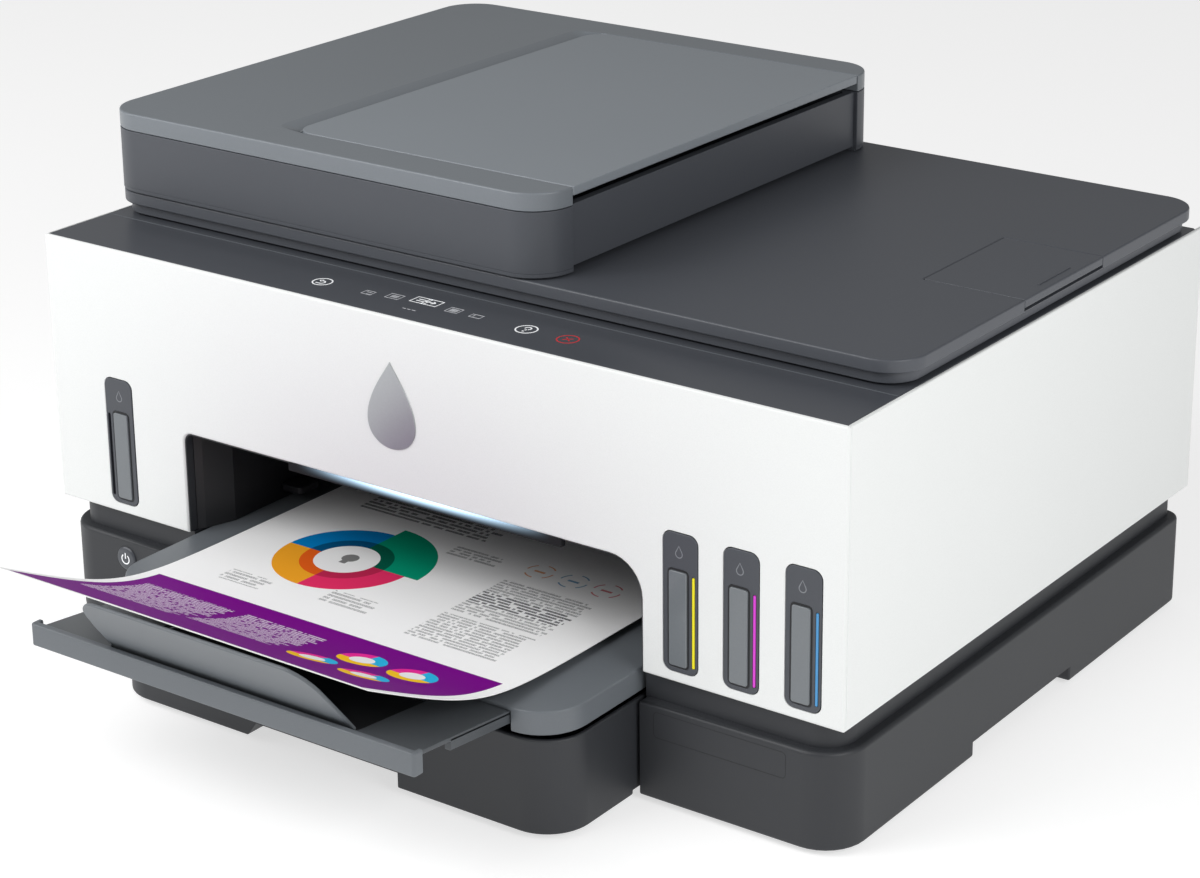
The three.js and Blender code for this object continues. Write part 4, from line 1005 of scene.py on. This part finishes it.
class PRINTER_OT_scanner(bpy.types.Operator):
    """Makes the scanner's deck, its control strip and its glass"""

    bl_idname = "printer.scanner"
    bl_label = "Scanner"
    bl_options = {"REGISTER", "UNDO"}

    def execute(self, context):
        edge = rect(1.6, WIDTH - 1.6, 1.6, 318, 1.5)
        ledge = moulded("z", [edge, rect(66, 364, 66, 280, 1), rect(26, 44, 66, 280, 1)], 187.3, 188.5,
                        (0, 0))
        openings = [rect(61.7, 368.3, 61.7, 284.3, 0.5, 0.2), rect(26, 44, 66, 280, 1, 0.2)]
        plate = moulded("z", [edge, *openings], 188.5, 192, (0, 0.5))
        make("deck_plate", [ledge, plate], "control_strip", "scanner_unit",
             ["scanner_deck"])
        pane = moulded("z", [rect(62, 368, 62, 284, 0.4)], 188.8, 191.8, (0.2, 0.2))
        make("glass_pane", [pane], "scan_glass", "scanner_unit", ["scan_glass"])
        level, body = 192.0, "scanner_unit"
        # A raised line along the control strip's rear seam, in slate lighter than the deck. The seam is
        # real, and its light colour is a painted highlight for the thin bright line on that edge.
        seam = ribbon("z", [[(2.4, 41), (WIDTH - 2.4, 41)]], 0.45, level, 0.12)
        make("deck_seam", seam, "slate", body)

        def page(x, y, w, h):
            """A closed rectangle around a point."""
            return [(x - w, y - h), (x + w, y - h), (x + w, y + h), (x - w, y + h), (x - w, y - h)]

        white = [
            arc(157.5, 20, 4.6), arc(157.5, 19.4, 1.7, -80, 120, 12), [(158.2, 17.7), (155.4, 17.7)],
            [(156.6, 22.2), (155.2, 21.1), (156.6, 20)],
            page(211, 25, 4, 3.4), page(217.5, 25, 4, 3.4), [(209, 26), (213, 26)], [(209, 24), (213, 24)],
            [(213.6, 25), (219, 25)], [(217.4, 26.4), (219.2, 25), (217.4, 23.6)],
            arc(273.2, 20.6, 4.9), arc(273.2, 21.8, 1.5, 200, -60, 12), [(273.5, 20.3), (273.2, 19.2)],
            arc(273.2, 17.9, 0.25, steps=6),
        ]
        dim = [
            page(184.7, 20, 2.6, 2.2), [(183.4, 20.6), (186, 20.6)], [(184.6, 18.2), (187.8, 18.2)],
            page(197.9, 22.4, 3.6, 2.8), [(196, 23.4), (200, 23.4)], [(196, 22.4), (200, 22.4)],
            [(196, 21.4), (200, 21.4)], page(231.7, 22.5, 3.3, 2.8), [(229.6, 23.8), (233.8, 23.8)],
            [(229.6, 22.9), (233.8, 22.9)], [(229.6, 22), (233.8, 22)], [(229.6, 21.1), (233.8, 21.1)],
            page(244.7, 21.7, 3, 1.8), [(243.4, 22.6), (243.4, 20.8)],
            [(210.8, 12.4), (212.6, 12.4)], [(213.4, 12.4), (215.2, 12.4)], [(216, 12.4), (218.2, 12.4)],
        ]
        red = [arc(295.6, 20.4, 4.9), [(293.8, 18.8), (297.4, 22)], [(293.8, 22), (297.4, 18.8)]]
        for name, lines, finish, width in (
            ("bright", white, "icon_white", 0.65),
            ("dim", dim, "icon_dim", 0.5),
            ("cancel", red, "icon_red", 0.65),
        ):
            make(f"control_icons_{name}", ribbon("z", lines, width, level), finish, body)
        return {"FINISHED"}


class PRINTER_OT_lid(bpy.types.Operator):
    """Makes the scanner's lid, its foam pad and the flip-up document stop"""

    bl_idname = "printer.lid"
    bl_label = "Lid"
    bl_options = {"REGISTER", "UNDO"}

    def execute(self, context):
        left, right, front, back = 0.7, WIDTH - 0.7, 43.3, 321.6
        upper = moulded("z", [rect(left, right, front, back, 18)], 198.5, 199.2, (0.6, 0), steps=12)
        radii = [18, 18, 0.2, 0.3, 0.3, 0.2, 18, 18]

        def plan(x, near=144.6, far=218.4):
            """The lid's plan, open to the right from x for the document stop."""
            return [(left, front), (right, front), (right, near), (x, near), (x, far), (right, far),
                    (right, back), (left, back)]

        rim = moulded("z", [loop_of(plan(446), radii)], 199.2, 201.7, (0, 0), steps=12)
        top = moulded("z", [loop_of(plan(397.6), radii)], 201.7, 204.5, (0, 0.9), steps=12)
        inner = (left + 3, right - 3, front + 3, back - 3)
        pocket = rect(51.7, 378.3, 53.7, 292.3, 3)
        skirt = moulded("z", [rect(*inner, 15), pocket], 193.2, 195.9, (0.4, 0), steps=12)
        web = moulded("z", [rect(*inner, 15)], 195.9, 198.5, (0, 0), steps=12)
        make("lid_shell", [upper, rim, top, skirt, web], "lid", "lid", ["lid_plate"])
        pad = moulded("z", [rect(52, 378, 54, 292, 3)], 192.4, 195.6, (0.8, 0.2))
        foam = make("white_pad", [pad], "foam", "lid", ["lid_pad"])
        profile = [(398, 202.1), (446.3, 202.1), (446.3, 200.3), (right, 200.3), (right, 204.5),
                   (398, 204.5)]
        stop = moulded("y", [loop_of(profile, [0.2, 0.3, 0.3, 0.7, 0.9, 0.3])], 145, 218, (0.35, 0.35))
        crest = moulded("y", [rect(442.9, 443.9, 204.3, 204.9, 0.2)], 166, 195, (0.1, 0.1))
        make("document_flap", [stop, crest], "lid", "document_stop", ["document_stop"])
        return {"FINISHED"}


FEEDER = (0.7, 266.9, 41.8, 323.0)


class PRINTER_OT_feeder(bpy.types.Operator):
    """Makes the document feeder: its body, cover, fold-out tray and rollers"""

    bl_idname = "printer.feeder"
    bl_label = "Document feeder"
    bl_options = {"REGISTER", "UNDO"}

    def execute(self, context):
        left, right, front, back = FEEDER

        def plan(x, y0, y1, inset=0.0, slot=0.0):
            """The plan, open to the right from x between y0 and y1, with a slot cut at both corners."""
            west, east, south, north = left + inset, right - inset, front + inset, back - inset
            deep, near, far = x - slot, y0 + 0.7, y1 - 0.7
            mouth = [(east, y0), (deep, y0), (deep, near), (x, near), (x, far), (deep, far), (deep, y1),
                     (east, y1)]
            return [(west, south), (east, south), *mouth, (east, north), (west, north)]

        radii = [20, 20, 0.4, 0, 0, 0, 0, 0, 0, 0.4, 20, 20]
        works, span = rect(6, 52, 48, 317, 10), (63.5, 302)
        body_plan = loop_of(plan(265.1, *span, 0, 1.6), radii)
        parts = [
            moulded("z", [loop_of(plan(57, *span, 1.3, 0.3), radii)], 204.8, 205.5, (0, 0), steps=12),
            moulded("z", [loop_of(plan(56, *span, 0, 0.3), radii)], 205.5, 207.3, (0.2, 0), steps=12),
            moulded("z", [body_plan, rect(6, 90, 48, 317, 10)], 207.3, 213, (0.2, 0), steps=12),
            moulded("z", [body_plan, rect(6, 90, 48, 317, 10), rect(95, 260.9, 66, 299, 3)], 213, 235.7,
                    (0, 0.3), steps=12),
        ]
        make("feeder_housing", parts, "housing", "lid", ["feeder_body"])
        cover = moulded("z", [loop_of(plan(93, *span), radii), rect(6, 87, 48, 317, 10)], 236, 241.5,
                        (0.5, 0), steps=12)
        floor = moulded("z", [loop_of(plan(103, *span), radii)], 241.5, 242.2, (0, 0), steps=12)
        start, end = span
        trough = [
            [(left, front), (right, front), (right, start), (108, start), (x, y0), (x, y1), (108, end),
             (right, end), (right, back), (left, back)]
            for x, y0, y1 in ((100.5, 72, 293), (92.5, 66, 299))
        ]
        trough_radii = [20, 20, 0.3, 2, 6, 6, 2, 0.3, 20, 20]
        crown = moulded("z", [loop_of(np.array(trough), trough_radii)], 242.2, 244.5, (0, 0.9), steps=12)
        make("feeder_lid", [cover, floor, crown], "cover", "feeder_cover", ["feeder_cover"])
        outline = rect(103.4, right, 63.9, 301.6, [11, 0.9, 0.9, 11])
        leaf = moulded("z", [outline], 240.2, 244.5, (0.5, 0.45), steps=12)
        # The leaf's finish is lighter than the cover's: painted light.
        make("feeder_leaf", [leaf], "leaf", "feeder_tray", ["feeder_tray"])
        for name, x, z, radius, tyres, low, high in (
            ("pick", 78, 224, 8.5, (182,), 110, 255), ("feed", 40, 221, 11, (90, 150, 215, 275), 60, 305),
        ):
            shaft = turned("y", (x, z), rod_profile(low, high, 3), 32)
            rings = [turned("y", (x, z), rod_profile(y - 12, y + 12, radius, 0.8)) for y in tyres]
            make(f"feeder_{name}_tyres", [shaft, *rings], "rubber", f"feeder_{name}",
                 [f"feeder_{name}_roller"])
        return {"FINISHED"}


class PRINTER_OT_rollers(bpy.types.Operator):
    """Makes the paper rollers, the carriage's pulleys, rod and belt"""

    bl_idname = "printer.rollers"
    bl_label = "Rollers and drive"
    bl_options = {"REGISTER", "UNDO"}

    def execute(self, context):
        rollers = (
            ("exit", 158, 69.5, 6, 3, np.linspace(120, 312, 5), 12, 9),
            ("feed", 200, 71, 8, 4, np.linspace(110, 322, 4), 40, 14),
        )
        for name, y, z, radius, shaft, tyres, length, gear in rollers:
            parts = [turned("x", (y, z), rod_profile(13, 436, shaft), 32),
                     turned("x", (y, z), rod_profile(20, 25, gear, 0.5), 64)]
            parts += [turned("x", (y, z), rod_profile(x - length / 2, x + length / 2, radius, 0.6))
                      for x in tyres]
            make(f"{name}_roller_turned", parts, "rubber", f"{name}_roller", [f"{name}_roller"])
        pickup = [turned("x", (225, 58.5), rod_profile(MIDDLE - 60, MIDDLE + 60, 3), 32)]
        pickup += [turned("x", (225, 58.5), rod_profile(MIDDLE + a, MIDDLE + a + 20, 12, 0.8))
                   for a in (-34, 14)]
        make("pickup_roller_turned", pickup, "rubber", "pickup_roller", ["pickup_roller"])
        for name, x, end in (("idler", 34, 234), ("drive", 416, 258)):
            wheel = turned("y", (x, 134), rod_profile(216, 221, 8, 0.3))
            shaft = turned("y", (x, 134), rod_profile(217, end, 2.5), 24)
            make(f"{name}_pulley_turned", [wheel, shaft], "steel", name, [f"{name}_pulley"])
        rod = turned("x", (204, 112), rod_profile(12, 437, 4, 0.6))
        make("guide_rod_turned", [rod], "steel", "printer_base", ["guide_rod"])
        return {"FINISHED"}


class PRINTER_OT_back(bpy.types.Operator):
    """Makes the rear panel with its vents and door"""

    bl_idname = "printer.back"
    bl_label = "Back"
    bl_options = {"REGISTER", "UNDO"}

    def execute(self, context):
        holes = [rect(150, 330, 75, 160, 0.5, 0.3), rect(33.7, 62.3, 63.7, 84.3, 0.3, 0.2)]
        holes += [rect(x, x + 3, 100, 150, 1.4, 0.4) for x in range(360, 424, 8)]
        panel = moulded("y", [rect(4.3, WIDTH - 4.3, SHELL_BOTTOM, 176, 1), *holes], 316, 320, (0, 0.6))
        make("rear_wall", [panel], "charcoal", "printer_base", ["rear_panel"])
        leaf = moulded("y", [rect(150.5, 329.5, 75.5, 159.5, 2)], 316, 318.5, (0, 0))
        grip = rect(MIDDLE - 25, MIDDLE + 25, 144, 152, 3, 0.6)
        face = moulded("y", [rect(150.5, 329.5, 75.5, 159.5, 2), grip], 318.5, 320, (0, 0.7))
        ribs = [moulded("x", [rect(306, 316.5, 90, 145, 1)], x, x + 2, (0.3, 0.3))
                for x in (190, 216, 242, 268)]
        make("rear_door_leaf", [leaf, face, *ribs], "charcoal", "rear_door",
             ["rear_door"])
        x, z = 48.0, 74.0
        recess = rect(x - 8.6, x + 8.6, z - 4.6, z + 4.6, 4.4, 0.4)
        socket = [moulded("y", [rect(34, 62, 64, 84, 1)], 296, 306, (0.3, 0)),
                  moulded("y", [rect(34, 62, 64, 84, 1), recess], 306, 321.5, (0, 0.6))]
        make("inlet_socket", socket, "black_plastic", "printer_base", ["power_inlet"])
        pins = [turned("y", (x + offset, z), rod_profile(305, 318, 1.2, 0.6), 20) for offset in (-4.3, 4.3)]
        make("inlet_pins", pins, "steel", "printer_base")
        return {"FINISHED"}


class PRINTER_OT_inner_finishes(bpy.types.Operator):
    """Gives each inner piece of the frame its finish"""

    bl_idname = "printer.inner_finishes"
    bl_label = "Inner finishes"
    bl_options = {"REGISTER", "UNDO"}

    def execute(self, context):
        finishes = {
            "black_plastic": ["mouth_liner", "print_carriage", "platen", "scan_head"],
            "steel": ["chassis_frame", "carriage_motor", "power_supply"],
            "rubber": ["carriage_belt"],
            "graphite": ["service_station"],
            "charcoal": ["scanner_base"],
            "circuit_board": ["main_board"],
        }
        for finish, names in finishes.items():
            for name in names:
                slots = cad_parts[name].data.materials
                slots.clear()
                slots.append(bpy.data.materials[f"{finish}_finish"])
        return {"FINISHED"}


class PRINTER_OT_stage(bpy.types.Operator):
    """Makes the floor, the lights and the camera"""

    bl_idname = "printer.stage"
    bl_label = "Stage"
    bl_options = {"REGISTER", "UNDO"}

    def execute(self, context):
        mesh = bpy.data.meshes.new("floor")
        reach = 30.0
        mesh.from_pydata([(-reach, -reach, 0), (reach, -reach, 0), (reach, reach, 0), (-reach, reach, 0)],
                         [], [(0, 1, 2, 3)])
        floor = bpy.data.objects.new("floor", mesh)
        bpy.context.scene.collection.objects.link(floor)
        material, tree, shader = blank("floor")
        shader.inputs["Base Color"].default_value = (0.55, 0.55, 0.55, 1)
        shader.inputs["Emission Color"].default_value = (1, 1, 1, 1)
        shader.inputs["Emission Strength"].default_value = 0.62
        shader.inputs["Roughness"].default_value = 0.9
        shader.inputs["Specular IOR Level"].default_value = 0.1
        mesh.materials.append(material)
        world = bpy.data.worlds.new("studio")
        world.use_nodes = True
        world.node_tree.nodes["Background"].inputs[0].default_value = (1, 1, 1, 1)
        world.node_tree.nodes["Background"].inputs[1].default_value = 0.28
        scene = bpy.context.scene
        scene.world = world
        scene.view_settings.view_transform = "Standard"
        for name, spot, aim, size, power in (
            ("key", (-1.6, -1.2, 1.3), (0, 0, 0.1), 1.5, 18.0),
            ("side", (1.0, -0.32, 0.6), (0.15, 0, 0.12), 0.5, 4.6),
            ("front", (-0.3, -0.7, 0.8), (-0.05, 0, 0.1), 0.6, 4.2),
        ):
            lamp = bpy.data.lights.new(name, "AREA")
            lamp.size, lamp.energy = size, power
            light = bpy.data.objects.new(name, lamp)
            scene.collection.objects.link(light)
            light.location = spot
            toward = [a - b for a, b in zip(aim, spot)]
            light.rotation_euler = Vector(toward).to_track_quat("-Z", "Y").to_euler()
        lens = bpy.data.cameras.new("camera")
        lens.lens, lens.sensor_width = 87.985, 36.0
        lens.shift_x, lens.shift_y = -0.0758, -0.1158
        lens.clip_start, lens.clip_end = 0.05, 100
        camera = bpy.data.objects.new("camera", lens)
        scene.collection.objects.link(camera)
        camera.location = (0.78349, -1.01229, 0.61193)
        camera.rotation_euler = (math.radians(90 - 18.72), 0, math.radians(34.56))
        scene.camera = camera
        return {"FINISHED"}


class PRINTER_PT_panel(bpy.types.Panel):
    """Lists the printer's operators and settings"""

    bl_idname = "PRINTER_PT_panel"
    bl_label = "Printer"
    bl_space_type = "VIEW_3D"
    bl_region_type = "UI"
    bl_category = "Printer"

    def draw(self, context):
        for operator in OPERATORS:
            self.layout.operator(operator.bl_idname)
        for settings in (context.scene.printer_sizes, context.scene.printer_colours):
            for name in settings.__annotations__:
                self.layout.prop(settings, name)


OPERATORS = (
    PRINTER_OT_finishes, PRINTER_OT_stage, PRINTER_OT_shell, PRINTER_OT_base, PRINTER_OT_ink_gauges,
    PRINTER_OT_cassette, PRINTER_OT_output_tray, PRINTER_OT_page, PRINTER_OT_scanner, PRINTER_OT_lid,
    PRINTER_OT_feeder, PRINTER_OT_rollers, PRINTER_OT_back, PRINTER_OT_inner_finishes,
)
CLASSES = (PrinterColours, PrinterSizes, *OPERATORS, PRINTER_PT_panel)


def register():
    for item in CLASSES:
        bpy.utils.register_class(item)
    bpy.types.Scene.printer_colours = bpy.props.PointerProperty(type=PrinterColours)
    bpy.types.Scene.printer_sizes = bpy.props.PointerProperty(type=PrinterSizes)


def unregister():
    del bpy.types.Scene.printer_colours
    del bpy.types.Scene.printer_sizes
    for item in reversed(CLASSES):
        bpy.utils.unregister_class(item)


def main():
    register()
    for operator in OPERATORS:
        group, name = operator.bl_idname.split(".")
        getattr(getattr(bpy.ops, group), name)()


if __name__ == "__main__":
    main()
